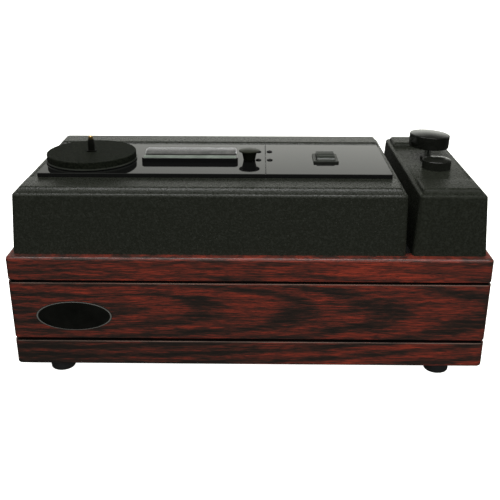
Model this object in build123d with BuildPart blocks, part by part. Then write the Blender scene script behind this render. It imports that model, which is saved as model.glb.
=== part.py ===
from build123d import *
import math
import os

os.makedirs("parts", exist_ok=True)

# Record cleaning machine with a suction bar, an edge-drive roller and a fluid pump.
# Millimetres, +X to the user's right, +Y to the back, +Z up.
# The origin is on the floor under the middle of the wood cabinet.

# ---------------------------------------------------------------- fits
running_clearance = 0.05  # radial, a shaft in its bearing
motion_gap = 0.3  # between surfaces of bodies that move past each other
free_gap = 0.5  # round a part that only passes through a hole

# ---------------------------------------------------------------- wood cabinet
cabinet_width = 450.0
cabinet_depth = 236.0
foot_height = 16.0
board_height = 111.5
board_thickness = 15.0
board_corner_radius = 5.5
board_top_round = 3.0
board_bottom_round = 1.8
groove_depth = 2.5
groove_lip_round = 0.6
upper_groove_drop = 23.9  # centre of the groove below the top of the boards
upper_groove_width = 2.4
lower_groove_rise = 27.0  # centre of the groove above the bottom of the boards
lower_groove_width = 3.0
top_board_thickness = 9.0
bottom_panel_thickness = 9.0

cabinet_top = foot_height + board_height
inner_width = cabinet_width - 2 * board_thickness
inner_depth = cabinet_depth - 2 * board_thickness
floor_top = foot_height + bottom_panel_thickness
ceiling = cabinet_top - top_board_thickness

# ---------------------------------------------------------------- feet and badge
foot_inset_x = 38.0
foot_inset_y = 25.0
foot_radius_floor = 11.8
foot_radius_top = 13.0
foot_edge_round = 1.2
foot_recess_radius = 5.5
foot_recess_depth = 7.0
foot_screw_radius = 2.0
foot_screw_head_radius = 4.0
foot_screw_head_height = 2.6
foot_screw_bite = 7.0
badge_width = 72.0
badge_height = 30.0
badge_thickness = 1.2
badge_edge_round = 0.5
badge_from_left = 60.0
badge_rise = 52.3

foot_x = cabinet_width / 2 - foot_inset_x
foot_y = cabinet_depth / 2 - foot_inset_y

# ---------------------------------------------------------------- covers
cover_height = 57.0
cover_wall = 3.0
cover_side_margin = 5.5
cover_end_margin = 9.0
cover_end_draft = 3.7  # how far the front and back walls lean in over the height
cover_side_draft = 3.6
reservoir_cover_width = 68.7
cover_split_gap = 5.3  # between the feet of the two covers
main_inner_draft = 1.3
tower_inner_draft = 3.5
cover_corner_radius = 4.5
cover_edge_round = 1.8
band_height = 4.0  # the top carries a raised band along the front and one along the back
band_side_inset = 4.2
band_end_inset = 5.8
band_edge_round = 3.4
band_cove = 0.5
front_band_back = -65.0
back_band_front = 67.0

main_left = -cabinet_width / 2 + cover_side_margin
tower_right = cabinet_width / 2 - cover_side_margin
tower_left = tower_right - reservoir_cover_width
tower_mid = (tower_left + tower_right) / 2
main_right = tower_left - cover_split_gap
cover_foot_y = cabinet_depth / 2 - cover_end_margin
cover_top_y = cover_foot_y - cover_end_draft
flat_z = cabinet_top + cover_height  # the flat top between and around the bands
band_z = flat_z + band_height
cover_ceiling = flat_z - cover_wall

# ---------------------------------------------------------------- places along the deck
deck_left_margin = 17.1  # from the left foot of the main cover
deck_right_margin = 9.8  # from its right foot
axis_y = -14.0  # the line through the spindle, the slot and the roller
platter_from_left = 42.8  # from the left end of the deck plate
roller_from_spindle = 158.6  # the rim of a 12 inch record runs on the roller
seam_from_roller = 16.3

deck_left = main_left + deck_left_margin
deck_right = main_right - deck_right_margin
platter_x = deck_left + platter_from_left
roller_x = platter_x + roller_from_spindle
deck_seam_x = roller_x + seam_from_roller
switch_x = (deck_seam_x + deck_right) / 2  # the middle of the switch plate

# ---------------------------------------------------------------- deck plates
deck_front = -64.0
deck_back = 46.0
deck_seam_width = 0.3
deck_thickness = 6.0
deck_corner_radius = 1.5
deck_edge_chamfer = 0.4
gasket_thickness = 1.5
gasket_inset = 1.2
deck_shelf = 8.4  # how far the plates reach over the flat top of the cover
deck_opening_radius = 6.0
deck_screw_reach = (-7.1, 4.3)  # from the seam
deck_screw_y = (-15.2, 16.5)
deck_screw_radius = 1.5
deck_screw_head_radius = 2.9
deck_screw_head_height = 1.3
deck_screw_head_rim = 0.4
motor_plate_thickness = 3.0
motor_plate_reach = (-47.3, 14.7)  # from the seam
motor_plate_front = -46.0
motor_plate_back = 28.0
motor_plate_corner_radius = 5.0

deck_screw_x = [deck_seam_x + reach for reach in deck_screw_reach]
motor_plate_left, motor_plate_right = [deck_seam_x + reach for reach in motor_plate_reach]
deck_underside = flat_z + gasket_thickness
deck_z = deck_underside + deck_thickness
motor_plate_z = deck_underside - motor_plate_thickness

# ---------------------------------------------------------------- platter and spindle
platter_radius = 45.0
platter_gap = 0.8
platter_carrier_thickness = 1.2
platter_mat_thickness = 6.5
platter_mat_inset = 0.5
platter_edge_round = 0.8
bearing_radius = 9.0
bearing_flange_radius = 13.0
bearing_flange_thickness = 3.0
bearing_depth = 20.0
journal_radius = 5.0
spindle_radius = 2.3
spindle_rise = 15.5  # tip above the mat
sleeve_radius = 3.5
sleeve_tip_radius = 2.9
sleeve_straight = 7.5
sleeve_rise = 12.2
sleeve_flange_radius = 5.0
sleeve_flange_thickness = 1.0
clip_radius = 7.5
clip_thickness = 1.0
clip_groove = 1.0
spindle_below_clip = 2.0
spindle_tip_length = 1.4
spindle_tip_inset = 0.9
spindle_tip_arc = 1.7

carrier_z = deck_z + platter_gap
mat_z = carrier_z + platter_carrier_thickness
mat_top = mat_z + platter_mat_thickness
bearing_top = carrier_z - motion_gap
bearing_bottom = bearing_top - bearing_depth
clip_z = bearing_bottom - motion_gap - clip_thickness

# ---------------------------------------------------------------- drive roller
roller_foot_radius = 6.0
roller_body_radius = 7.2
roller_ridge_radius = 7.5
roller_flange_radius = 10.5
roller_body_height = 6.6
roller_ridge_height = 0.5
roller_bevel_height = 2.0
roller_flange_height = 0.9
roller_dome = 0.5
roller_bore_depth = 7.0
motor_shaft_radius = 2.5
shaft_hole_radius = 4.0
drive_motor_radius = 26.0
drive_motor_height = 42.0
drive_motor_edge_round = 2.0
drive_motor_cap_height = 8.0
drive_motor_boss_radius = 5.2
drive_motor_boss_height = 2.4
drive_shaft_reach = 26.0  # length of the shaft inside the motor

roller_foot_z = deck_z + motion_gap

# ---------------------------------------------------------------- suction bar
bar_from_spindle = 51.6
bar_from_roller = 11.3
bar_front = -25.5
bar_back = 8.0
bar_height = 4.4
bar_end_radius = 3.0
bar_edge_round = 0.5
slot_front = -17.6
slot_back = -12.6
slot_end_margin = 5.0
front_lip_height = 1.7
rear_lip_height = 3.6
rear_lip_back = 7.0
front_lip_crown = 1.4
front_lip_toe = 0.3
front_lip_end_round = 1.2
rear_lip_rise = 2.2  # from the slot to the top of its steep front
rear_lip_crest_front = 8.0
rear_lip_crest_back = 5.0
rear_lip_tail = 0.8
lip_end_margin = 1.6
port_length = 58.0
port_width = 5.0
duct_gap = 3.0  # from its flange to the motor plate
duct_flange_length = 74.0
duct_flange_width = 26.0
duct_flange_thickness = 3.0
duct_corner_radius = 4.0
port_corner_radius = 1.0
duct_wall = 3.0
duct_drop = 15.0
spigot_length = 18.0
hose_inner_radius = 16.0
hose_wall = 3.0
hose_grip = 10.0

bar_left = platter_x + bar_from_spindle
bar_right = roller_x - bar_from_roller
bar_length = bar_right - bar_left
duct_x = motor_plate_left - duct_gap - duct_flange_length / 2

# ---------------------------------------------------------------- rocker switch
switch_y = -11.0
bezel_width = 25.0
bezel_length = 30.0
bezel_height = 2.0
bezel_round = 0.6
bezel_corner_radius = 1.0
switch_case_width = 22.0
switch_case_length = 28.0
switch_case_depth = 22.0
rocker_width = 18.0
rocker_radius = 13.4
rocker_pivot_drop = 6.0  # pivot below the top of the bezel
rocker_end_rise = 2.2
rocker_dip = 1.1
rocker_rest_tilt = 10.0  # degrees, at rest the back end stands up
rocker_depth = 5.0
rocker_edge_round = 0.5
rocker_pin_radius = 1.5
rocker_pin_length = 1.3
terminal_width = 6.3
terminal_thickness = 0.8
terminal_length = 7.0
terminal_spacing = 7.5
well_floor_gap = 4.0  # under the rocker

# ---------------------------------------------------------------- fluid pump
pump_offset = 0.45  # to the right of the reservoir cover's middle
pump_y = 22.0
knob_radius = 20.5
knob_thickness = 11.6
knob_rise = 13.9  # middle of the knob's underside above the cover
knob_lean = 4.6  # degrees, the knob sits askew on its rod
knob_dome = 0.8
knob_edge_round = 1.2
knob_bore_depth = 6.0
rod_radius = 3.7
collar_radius = 7.5
collar_height = 2.4
collar_neck_radius = 5.5
collar_neck_length = 6.0
collar_chamfer = 0.6
barrel_radius = 12.0
barrel_wall = 2.0
barrel_end = 3.0
piston_height = 6.0
spring_radius = 7.0
spring_wire_radius = 0.9
spring_turns = 6
fluid_tube_radius = 3.0
fluid_tube_bore = 1.8
fluid_tube_bend = 6.0
fluid_tube_drop = 5.5  # from the underside of the top board to the tube
fluid_outlet_from_duct = 12.0
fluid_outlet_y = -42.0

pump_x = tower_mid + pump_offset
fluid_outlet_x = duct_x + fluid_outlet_from_duct
knob_z = flat_z + knob_rise
barrel_bottom = cabinet_top + motion_gap
barrel_bore = barrel_radius - barrel_wall
piston_top = cover_ceiling - barrel_end - motion_gap

# ---------------------------------------------------------------- fluid reservoir
filler_offset = 2.25  # to the right of the reservoir cover's middle
filler_y = -14.0
cap_radius = 14.2
cap_height = 10.3
cap_chamfer = 1.2
neck_radius = 11.0
neck_bore = 8.5
neck_rise = 8.0
bottle_width = 46.0
bottle_past_filler = 14.0  # from the filler's middle to the back of the bottle
bottle_side_gap = 4.0  # from the inside of the right board
bottle_front_gap = 11.0  # from the inside of the front board
bottle_headroom = 6.5
bottle_wall = 2.5
bottle_corner_radius = 6.0

filler_x = tower_mid + filler_offset
bottle_right = inner_width / 2 - bottle_side_gap
bottle_left = bottle_right - bottle_width
bottle_front = -inner_depth / 2 + bottle_front_gap
bottle_back = filler_y + bottle_past_filler
bottle_top = ceiling - bottle_headroom
bottle_height = bottle_top - floor_top

# ---------------------------------------------------------------- suction plant
tank_past_duct = 27.0  # from the hose's middle to the right side of the tank
tank_side_gap = 25.0  # from the inside of the left board
tank_front_gap = 18.0
tank_back_gap = 33.0
plant_headroom = 14.5  # over the tank and the suction motor
tank_wall = 3.0
tank_corner_radius = 8.0
tank_lid_thickness = 3.0
lid_spigot_height = 12.0
vacuum_y = 5.0
fan_radius = 62.0
fan_height = 41.0
vacuum_motor_radius = 42.0
vacuum_edge_round = 4.0
pad_radius = 9.0
pad_height = 6.0
pad_circle_radius = 46.0
pad_count = 3
inlet_radius = 14.0
inlet_length = 10.0
inlet_rise = 20.0
link_wall = 3.0
drain_rise = 11.0
drain_radius = 6.0
drain_bore = 4.0
drain_recess_radius = 15.0
drain_recess_depth = 11.0
drain_set_back = 2.0
drain_cap_radius = 8.5
drain_cap_grip_radius = 10.0
drain_cap_grip = 2.5
drain_cap_end = 2.4
drain_cap_length = 10.5
vent_count = 7
vent_pitch = 9.0
vent_width = 3.5
vent_height = 34.0
vent_z = 66.0
gland_from_right = 60.0  # from the inside of the right board
gland_z = 62.0
gland_radius = 8.0
gland_bore = 4.0
gland_flange_radius = 11.0
gland_flange = 3.0
gland_nut_radius = 11.0
gland_nut = 4.0
gland_edge_round = 1.2

tank_left = -inner_width / 2 + tank_side_gap
tank_right = duct_x + tank_past_duct
tank_front = -inner_depth / 2 + tank_front_gap
tank_back = inner_depth / 2 - tank_back_gap
tank_top = ceiling - plant_headroom
tank_height = tank_top - floor_top
tank_lid_z = tank_top + tank_lid_thickness
fan_z = floor_top + pad_height
vacuum_motor_height = ceiling - plant_headroom - fan_z - fan_height
vacuum_x = (tank_right + bottle_left) / 2
inlet_z = fan_z + inlet_rise
drain_x = (tank_left + tank_right) / 2
drain_z = floor_top + drain_rise
gland_x = inner_width / 2 - gland_from_right
rear_face = cabinet_depth / 2
rear_inner = inner_depth / 2


def dome_middle(radius, rise, base_z):
    """The point half-way out on a spherical dome whose centre is on the axis."""
    sphere = (radius**2 + rise**2) / (2 * rise)
    return (radius / 2, base_z + rise - sphere + math.sqrt(sphere**2 - radius**2 / 4))


# ================================================================ wood cabinet
def on_groove_lip(edge):
    """True for the outer edges of the two grooves."""
    centre = edge.center()
    levels = [
        foot_height + lower_groove_rise - lower_groove_width / 2,
        foot_height + lower_groove_rise + lower_groove_width / 2,
        cabinet_top - upper_groove_drop - upper_groove_width / 2,
        cabinet_top - upper_groove_drop + upper_groove_width / 2,
    ]
    if not any(abs(centre.Z - level) < 0.01 for level in levels):
        return False
    if edge.geom_type == GeomType.CIRCLE:
        return edge.radius > board_corner_radius - groove_depth / 2
    on_side = abs(abs(centre.X) - cabinet_width / 2) < 0.01
    on_end = abs(abs(centre.Y) - cabinet_depth / 2) < 0.01
    return on_side or on_end


with BuildPart() as cabinet_ring:
    with BuildSketch(Plane.XY.offset(foot_height)):
        RectangleRounded(cabinet_width, cabinet_depth, board_corner_radius)
        Rectangle(inner_width, inner_depth, mode=Mode.SUBTRACT)
    extrude(amount=board_height)
    for groove_z, groove_width in (
        (foot_height + lower_groove_rise, lower_groove_width),
        (cabinet_top - upper_groove_drop, upper_groove_width),
    ):
        with BuildSketch(Plane.XY.offset(groove_z - groove_width / 2)):
            Rectangle(cabinet_width + 2, cabinet_depth + 2)
            RectangleRounded(
                cabinet_width - 2 * groove_depth,
                cabinet_depth - 2 * groove_depth,
                board_corner_radius - groove_depth,
                mode=Mode.SUBTRACT,
            )
        extrude(amount=groove_width, mode=Mode.SUBTRACT)
    fillet(cabinet_ring.edges().filter_by(on_groove_lip), radius=groove_lip_round)
    top_face = cabinet_ring.faces().sort_by(Axis.Z)[-1]
    fillet(top_face.outer_wire().edges(), radius=board_top_round)
    bottom_face = cabinet_ring.faces().sort_by(Axis.Z)[0]
    fillet(bottom_face.outer_wire().edges(), radius=board_bottom_round)


def mitre(side, end):
    """The joint plane at one corner; its normal points at the side board."""
    corner = (side * cabinet_width / 2, end * cabinet_depth / 2, 0)
    return Plane(origin=corner, z_dir=(side, -end, 0))


with BuildPart() as front_board:
    add(cabinet_ring.part)
    split(bisect_by=Plane.XZ, keep=Keep.TOP)
    split(bisect_by=mitre(1, -1), keep=Keep.BOTTOM)
    split(bisect_by=mitre(-1, -1), keep=Keep.BOTTOM)
front_board.part.label = "front_board"
export_step(front_board.part, "parts/front_board.step")

with BuildPart() as left_board:
    add(cabinet_ring.part)
    split(bisect_by=mitre(-1, -1), keep=Keep.TOP)
    split(bisect_by=mitre(-1, 1), keep=Keep.TOP)
left_board.part.label = "left_board"
export_step(left_board.part, "parts/left_board.step")

with BuildPart() as right_board:
    add(cabinet_ring.part)
    split(bisect_by=mitre(1, -1), keep=Keep.TOP)
    split(bisect_by=mitre(1, 1), keep=Keep.TOP)
right_board.part.label = "right_board"
export_step(right_board.part, "parts/right_board.step")

# The rear board also carries the exhaust slots, the cord gland and the drain recess.
with BuildPart() as rear_board:
    add(cabinet_ring.part)
    split(bisect_by=Plane.XZ, keep=Keep.BOTTOM)
    split(bisect_by=mitre(1, 1), keep=Keep.BOTTOM)
    split(bisect_by=mitre(-1, 1), keep=Keep.BOTTOM)
    with BuildSketch(Plane.XZ.offset(-rear_face)):
        with Locations((vacuum_x, vent_z)):
            with GridLocations(vent_pitch, 0, vent_count, 1):
                SlotOverall(vent_height, vent_width, rotation=90)
        with Locations((gland_x, gland_z)):
            Circle(gland_radius)
        with Locations((drain_x, drain_z)):
            Circle(drain_radius)
    extrude(amount=board_thickness, mode=Mode.SUBTRACT)
    with BuildSketch(Plane.XZ.offset(-rear_face)):
        with Locations((drain_x, drain_z)):
            Circle(drain_recess_radius)
    extrude(amount=drain_recess_depth, mode=Mode.SUBTRACT)
rear_board.part.label = "rear_board"
export_step(rear_board.part, "parts/rear_board.step")

with BuildPart() as bottom_panel:
    with BuildSketch(Plane.XY.offset(foot_height)):
        Rectangle(inner_width, inner_depth)
        with GridLocations(2 * foot_x, 2 * foot_y, 2, 2):
            Circle(foot_screw_radius, mode=Mode.SUBTRACT)
    extrude(amount=bottom_panel_thickness)
bottom_panel.part.label = "bottom_panel"
export_step(bottom_panel.part, "parts/bottom_panel.step")

with BuildPart() as top_board:
    with BuildSketch(Plane.XY.offset(ceiling)):
        Rectangle(inner_width, inner_depth)
        with Locations((duct_x, axis_y)):
            Circle(hose_inner_radius + hose_wall + free_gap, mode=Mode.SUBTRACT)
        with Locations((filler_x, filler_y)):
            Circle(neck_radius + free_gap, mode=Mode.SUBTRACT)
        with Locations((pump_x, pump_y), (fluid_outlet_x, fluid_outlet_y)):
            Circle(fluid_tube_radius + free_gap, mode=Mode.SUBTRACT)
    extrude(amount=top_board_thickness)
top_board.part.label = "top_board"
export_step(top_board.part, "parts/top_board.step")

# Each foot is turned: a slight taper, a rounded rim and a recess for its screw.
with BuildPart() as rubber_feet:
    with GridLocations(2 * foot_x, 2 * foot_y, 2, 2):
        Cone(
            foot_radius_floor,
            foot_radius_top,
            foot_height,
            align=(Align.CENTER, Align.CENTER, Align.MIN),
        )
    rims = rubber_feet.edges().group_by(Axis.Z)[0]
    fillet(rims, radius=foot_edge_round)
    with BuildSketch(Plane.XY):
        with GridLocations(2 * foot_x, 2 * foot_y, 2, 2):
            Circle(foot_recess_radius)
    extrude(amount=foot_recess_depth, mode=Mode.SUBTRACT)
    with BuildSketch(Plane.XY):
        with GridLocations(2 * foot_x, 2 * foot_y, 2, 2):
            Circle(foot_screw_radius)
    extrude(amount=foot_height, mode=Mode.SUBTRACT)
rubber_feet.part.label = "rubber_feet"
export_step(rubber_feet.part, "parts/rubber_feet.step")

with BuildPart() as foot_screws:
    with BuildSketch(Plane.XY.offset(foot_recess_depth - foot_screw_head_height)):
        with GridLocations(2 * foot_x, 2 * foot_y, 2, 2):
            Circle(foot_screw_head_radius)
    extrude(amount=foot_screw_head_height)
    heads = foot_screws.edges().group_by(Axis.Z)[0]
    fillet(heads, radius=foot_screw_head_height / 2)
    with BuildSketch(Plane.XY.offset(foot_recess_depth)):
        with GridLocations(2 * foot_x, 2 * foot_y, 2, 2):
            Circle(foot_screw_radius)
    extrude(amount=foot_height - foot_recess_depth + foot_screw_bite)
foot_screws.part.label = "foot_screws"
export_step(foot_screws.part, "parts/foot_screws.step")

with BuildPart() as badge_plate:
    with BuildSketch(Plane.XZ.offset(cabinet_depth / 2)):
        with Locations((badge_from_left - cabinet_width / 2, foot_height + badge_rise)):
            Ellipse(badge_width / 2, badge_height / 2)
    extrude(amount=badge_thickness)
    badge_rim = badge_plate.edges().group_by(Axis.Y)[0]
    fillet(badge_rim, radius=badge_edge_round)
badge_plate.part.label = "badge_plate"
export_step(badge_plate.part, "parts/badge_plate.step")


# ================================================================ covers
def cover_bands(middle_x, width, inset, radius):
    """Sketches the two bands across a cover, each drawn in by an inset."""
    band_front = -cover_top_y + band_end_inset
    for front, back in ((band_front, front_band_back), (back_band_front, -band_front)):
        with Locations((middle_x, (front + back) / 2)):
            RectangleRounded(width - 2 * inset, back - front - 2 * inset, radius)


def formed_cover(foot_left, foot_right, draft_left, draft_right):
    """A drafted shell, open below, with two raised bands across its flat top."""
    top_left = foot_left + draft_left
    top_right = foot_right - draft_right
    foot_size = (foot_right - foot_left, 2 * cover_foot_y)
    top_size = (top_right - top_left, 2 * cover_top_y)
    foot_x_mid = (foot_left + foot_right) / 2
    top_x_mid = (top_left + top_right) / 2
    inner_radius = max(cover_corner_radius - cover_wall, 1.0)
    band_width = top_size[0] - 2 * band_side_inset
    with BuildPart() as shell:
        with BuildSketch(Plane.XY.offset(cabinet_top)):
            with Locations((foot_x_mid, 0)):
                RectangleRounded(*foot_size, cover_corner_radius)
        with BuildSketch(Plane.XY.offset(flat_z)):
            with Locations((top_x_mid, 0)):
                RectangleRounded(*top_size, cover_corner_radius)
        loft()
        fillet(shell.faces().sort_by(Axis.Z)[-1].edges(), radius=cover_edge_round)
        with BuildSketch(Plane.XY.offset(flat_z)):
            cover_bands(top_x_mid, band_width, 0, cover_corner_radius)
        extrude(amount=band_height)
        for band_top in shell.faces().sort_by(Axis.Z)[-2:]:
            fillet(band_top.outer_wire().edges(), radius=band_edge_round)
        flat_top = shell.faces().filter_by_position(Axis.Z, flat_z - 0.01, flat_z + 0.01)[0]
        for band_foot in flat_top.inner_wires():
            fillet(band_foot.edges(), radius=band_cove)
        with BuildSketch(Plane.XY.offset(cabinet_top)):
            with Locations((foot_x_mid, 0)):
                RectangleRounded(
                    foot_size[0] - 2 * cover_wall,
                    foot_size[1] - 2 * cover_wall,
                    inner_radius,
                )
        with BuildSketch(Plane.XY.offset(cover_ceiling)):
            with Locations((top_x_mid, 0)):
                RectangleRounded(
                    top_size[0] - 2 * cover_wall,
                    top_size[1] - 2 * cover_wall,
                    inner_radius,
                )
        loft(mode=Mode.SUBTRACT)
        with BuildSketch(Plane.XY.offset(cover_ceiling)):
            cover_bands(top_x_mid, band_width, cover_wall, inner_radius)
        extrude(amount=band_height, mode=Mode.SUBTRACT)
    return shell


# The main cover is open under the deck plates, apart from a shelf round them.
opening_left = deck_left + deck_shelf
opening_right = deck_right - deck_shelf
opening_front = deck_front + deck_shelf
opening_back = deck_back - deck_shelf
opening_size = (opening_right - opening_left, opening_back - opening_front)
opening_mid = ((opening_left + opening_right) / 2, (opening_front + opening_back) / 2)

with BuildPart() as main_cover:
    add(formed_cover(main_left, main_right, cover_side_draft, main_inner_draft).part)
    with BuildSketch(Plane.XY.offset(flat_z)):
        with Locations(opening_mid):
            RectangleRounded(*opening_size, deck_opening_radius)
    extrude(amount=-cover_wall, mode=Mode.SUBTRACT)
main_cover.part.label = "main_cover"
export_step(main_cover.part, "parts/main_cover.step")

with BuildPart() as reservoir_cover:
    add(formed_cover(tower_left, tower_right, tower_inner_draft, cover_side_draft).part)
    with BuildSketch(Plane.XY.offset(flat_z)):
        with Locations((pump_x, pump_y)):
            Circle(collar_neck_radius)
        with Locations((filler_x, filler_y)):
            Circle(neck_radius)
    extrude(amount=-cover_wall, mode=Mode.SUBTRACT)
reservoir_cover.part.label = "reservoir_cover"
export_step(reservoir_cover.part, "parts/reservoir_cover.step")

# ================================================================ deck
deck_mid_y = (deck_front + deck_back) / 2
deck_length = deck_back - deck_front

with BuildPart() as deck_gasket:
    with BuildSketch(Plane.XY.offset(flat_z)):
        with Locations(((deck_left + deck_right) / 2, deck_mid_y)):
            Rectangle(deck_right - deck_left - 2 * gasket_inset, deck_length - 2 * gasket_inset)
        with Locations(opening_mid):
            RectangleRounded(*opening_size, deck_opening_radius, mode=Mode.SUBTRACT)
    extrude(amount=gasket_thickness)
deck_gasket.part.label = "deck_gasket"
export_step(deck_gasket.part, "parts/deck_gasket.step")


def acrylic_plate(left, right, outer_side):
    """A plate with softened top edges and rounded corners away from the seam."""
    with BuildPart() as plate:
        with BuildSketch(Plane.XY.offset(deck_underside)):
            with Locations(((left + right) / 2, deck_mid_y)):
                Rectangle(right - left, deck_length)
        extrude(amount=deck_thickness)
        corners = plate.edges().filter_by(Axis.Z).sort_by(Axis.X)
        outer = corners[:2] if outer_side < 0 else corners[-2:]
        fillet(outer, radius=deck_corner_radius)
        chamfer(plate.faces().sort_by(Axis.Z)[-1].edges(), length=deck_edge_chamfer)
    return plate


# The button-headed screws of the deck reach down to the motor plate's underside.
deck_screw_length = deck_thickness + motor_plate_thickness
head_rim_z = deck_z + deck_screw_head_rim
head_rise = deck_screw_head_height - deck_screw_head_rim


def deck_screw(x, y):
    """One button-headed screw that stands on the deck."""
    with BuildPart(mode=Mode.PRIVATE) as screw:
        with BuildSketch(Plane(origin=(x, y, 0), x_dir=(1, 0, 0), z_dir=(0, -1, 0))):
            with BuildLine():
                Polyline(
                    (0, deck_z + deck_screw_head_height),
                    (0, deck_z - deck_screw_length),
                    (deck_screw_radius, deck_z - deck_screw_length),
                    (deck_screw_radius, deck_z),
                    (deck_screw_head_radius, deck_z),
                    (deck_screw_head_radius, head_rim_z),
                )
                ThreePointArc(
                    (deck_screw_head_radius, head_rim_z),
                    dome_middle(deck_screw_head_radius, head_rise, head_rim_z),
                    (0, deck_z + deck_screw_head_height),
                )
            make_face()
        revolve(axis=Axis((x, y, 0), (0, 0, 1)))
    return screw.part


with BuildPart() as deck_plate:
    add(acrylic_plate(deck_left, deck_seam_x - deck_seam_width / 2, -1).part)
    with BuildSketch(Plane.XY.offset(deck_underside)):
        with Locations((platter_x, axis_y)):
            Circle(bearing_radius)
        with Locations((roller_x, axis_y)):
            Circle(shaft_hole_radius)
        with Locations((duct_x, (slot_front + slot_back) / 2)):
            Rectangle(port_length, port_width)
    extrude(amount=deck_thickness, mode=Mode.SUBTRACT)
    for y in deck_screw_y:
        add(deck_screw(deck_screw_x[0], y), mode=Mode.SUBTRACT)
deck_plate.part.label = "deck_plate"
export_step(deck_plate.part, "parts/deck_plate.step")

with BuildPart() as switch_plate:
    add(acrylic_plate(deck_seam_x + deck_seam_width / 2, deck_right, 1).part)
    with BuildSketch(Plane.XY.offset(deck_underside)):
        with Locations((switch_x, switch_y)):
            Rectangle(switch_case_width, switch_case_length)
    extrude(amount=deck_thickness, mode=Mode.SUBTRACT)
    for y in deck_screw_y:
        add(deck_screw(deck_screw_x[1], y), mode=Mode.SUBTRACT)
switch_plate.part.label = "switch_plate"
export_step(switch_plate.part, "parts/switch_plate.step")

with BuildPart() as deck_screws:
    for x in deck_screw_x:
        for y in deck_screw_y:
            add(deck_screw(x, y))
deck_screws.part.label = "deck_screws"
export_step(deck_screws.part, "parts/deck_screws.step")

# The motor plate bridges the seam under both deck plates and carries the drive motor.
motor_plate_size = (motor_plate_right - motor_plate_left, motor_plate_back - motor_plate_front)
motor_plate_mid = (
    (motor_plate_left + motor_plate_right) / 2,
    (motor_plate_front + motor_plate_back) / 2,
)

with BuildPart() as motor_plate:
    with BuildSketch(Plane.XY.offset(motor_plate_z)):
        with Locations(motor_plate_mid):
            RectangleRounded(*motor_plate_size, motor_plate_corner_radius)
        with Locations((roller_x, axis_y)):
            Circle(drive_motor_boss_radius, mode=Mode.SUBTRACT)
        for x in deck_screw_x:
            for y in deck_screw_y:
                with Locations((x, y)):
                    Circle(deck_screw_radius, mode=Mode.SUBTRACT)
    extrude(amount=motor_plate_thickness)
motor_plate.part.label = "motor_plate"
export_step(motor_plate.part, "parts/motor_plate.step")

# ================================================================ platter
# Flanged bush, pressed up through the deck plate.
with BuildPart() as platter_bearing:
    with BuildSketch(Plane.XY.offset(bearing_bottom)):
        with Locations((platter_x, axis_y)):
            Circle(bearing_radius)
    extrude(amount=bearing_depth)
    with BuildSketch(Plane.XY.offset(deck_underside)):
        with Locations((platter_x, axis_y)):
            Circle(bearing_flange_radius)
    extrude(amount=-bearing_flange_thickness)
    with BuildSketch(Plane.XY.offset(bearing_bottom)):
        with Locations((platter_x, axis_y)):
            Circle(journal_radius + running_clearance)
    extrude(amount=bearing_depth, mode=Mode.SUBTRACT)
platter_bearing.part.label = "platter_bearing"
export_step(platter_bearing.part, "parts/platter_bearing.step")

# The turned spindle: journal with a clip groove below, thin neck through the mat above.
spindle_plane = Plane(origin=(platter_x, axis_y, 0), x_dir=(1, 0, 0), z_dir=(0, -1, 0))
spindle_axis = Axis((platter_x, axis_y, 0), (0, 0, 1))
spindle_tip = mat_top + spindle_rise
spindle_foot = clip_z - spindle_below_clip

with BuildPart() as spindle:
    with BuildSketch(spindle_plane):
        with BuildLine():
            Polyline(
                (spindle_radius - spindle_tip_inset, spindle_tip),
                (0, spindle_tip),
                (0, spindle_foot),
                (journal_radius, spindle_foot),
                (journal_radius, clip_z),
                (journal_radius - clip_groove, clip_z),
                (journal_radius - clip_groove, clip_z + clip_thickness),
                (journal_radius, clip_z + clip_thickness),
                (journal_radius, carrier_z),
                (spindle_radius, carrier_z),
                (spindle_radius, spindle_tip - spindle_tip_length),
            )
            RadiusArc(
                (spindle_radius, spindle_tip - spindle_tip_length),
                (spindle_radius - spindle_tip_inset, spindle_tip),
                -spindle_tip_arc,
            )
        make_face()
    revolve(axis=spindle_axis)
spindle.part.label = "spindle"
export_step(spindle.part, "parts/spindle.step")

with BuildPart() as retaining_clip:
    with BuildSketch(Plane.XY.offset(clip_z)):
        with Locations((platter_x, axis_y)):
            Circle(clip_radius)
            Circle(journal_radius - clip_groove, mode=Mode.SUBTRACT)
        with Locations((platter_x, axis_y + clip_radius)):
            Rectangle(journal_radius, 2 * clip_radius, mode=Mode.SUBTRACT)
    extrude(amount=clip_thickness)
retaining_clip.part.label = "retaining_clip"
export_step(retaining_clip.part, "parts/retaining_clip.step")

with BuildPart() as platter:
    with BuildSketch(Plane.XY.offset(carrier_z)):
        with Locations((platter_x, axis_y)):
            Circle(platter_radius)
            Circle(spindle_radius, mode=Mode.SUBTRACT)
    extrude(amount=platter_carrier_thickness)
platter.part.label = "platter"
export_step(platter.part, "parts/platter.step")

with BuildPart() as platter_mat:
    with BuildSketch(Plane.XY.offset(mat_z)):
        with Locations((platter_x, axis_y)):
            Circle(platter_radius - platter_mat_inset)
    extrude(amount=platter_mat_thickness)
    mat_rim = platter_mat.edges().group_by(Axis.Z)[-1]
    fillet(mat_rim, radius=platter_edge_round)
    with BuildSketch(Plane.XY.offset(mat_z)):
        with Locations((platter_x, axis_y)):
            Circle(spindle_radius)
    extrude(amount=platter_mat_thickness, mode=Mode.SUBTRACT)
platter_mat.part.label = "platter_mat"
export_step(platter_mat.part, "parts/platter_mat.step")

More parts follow.
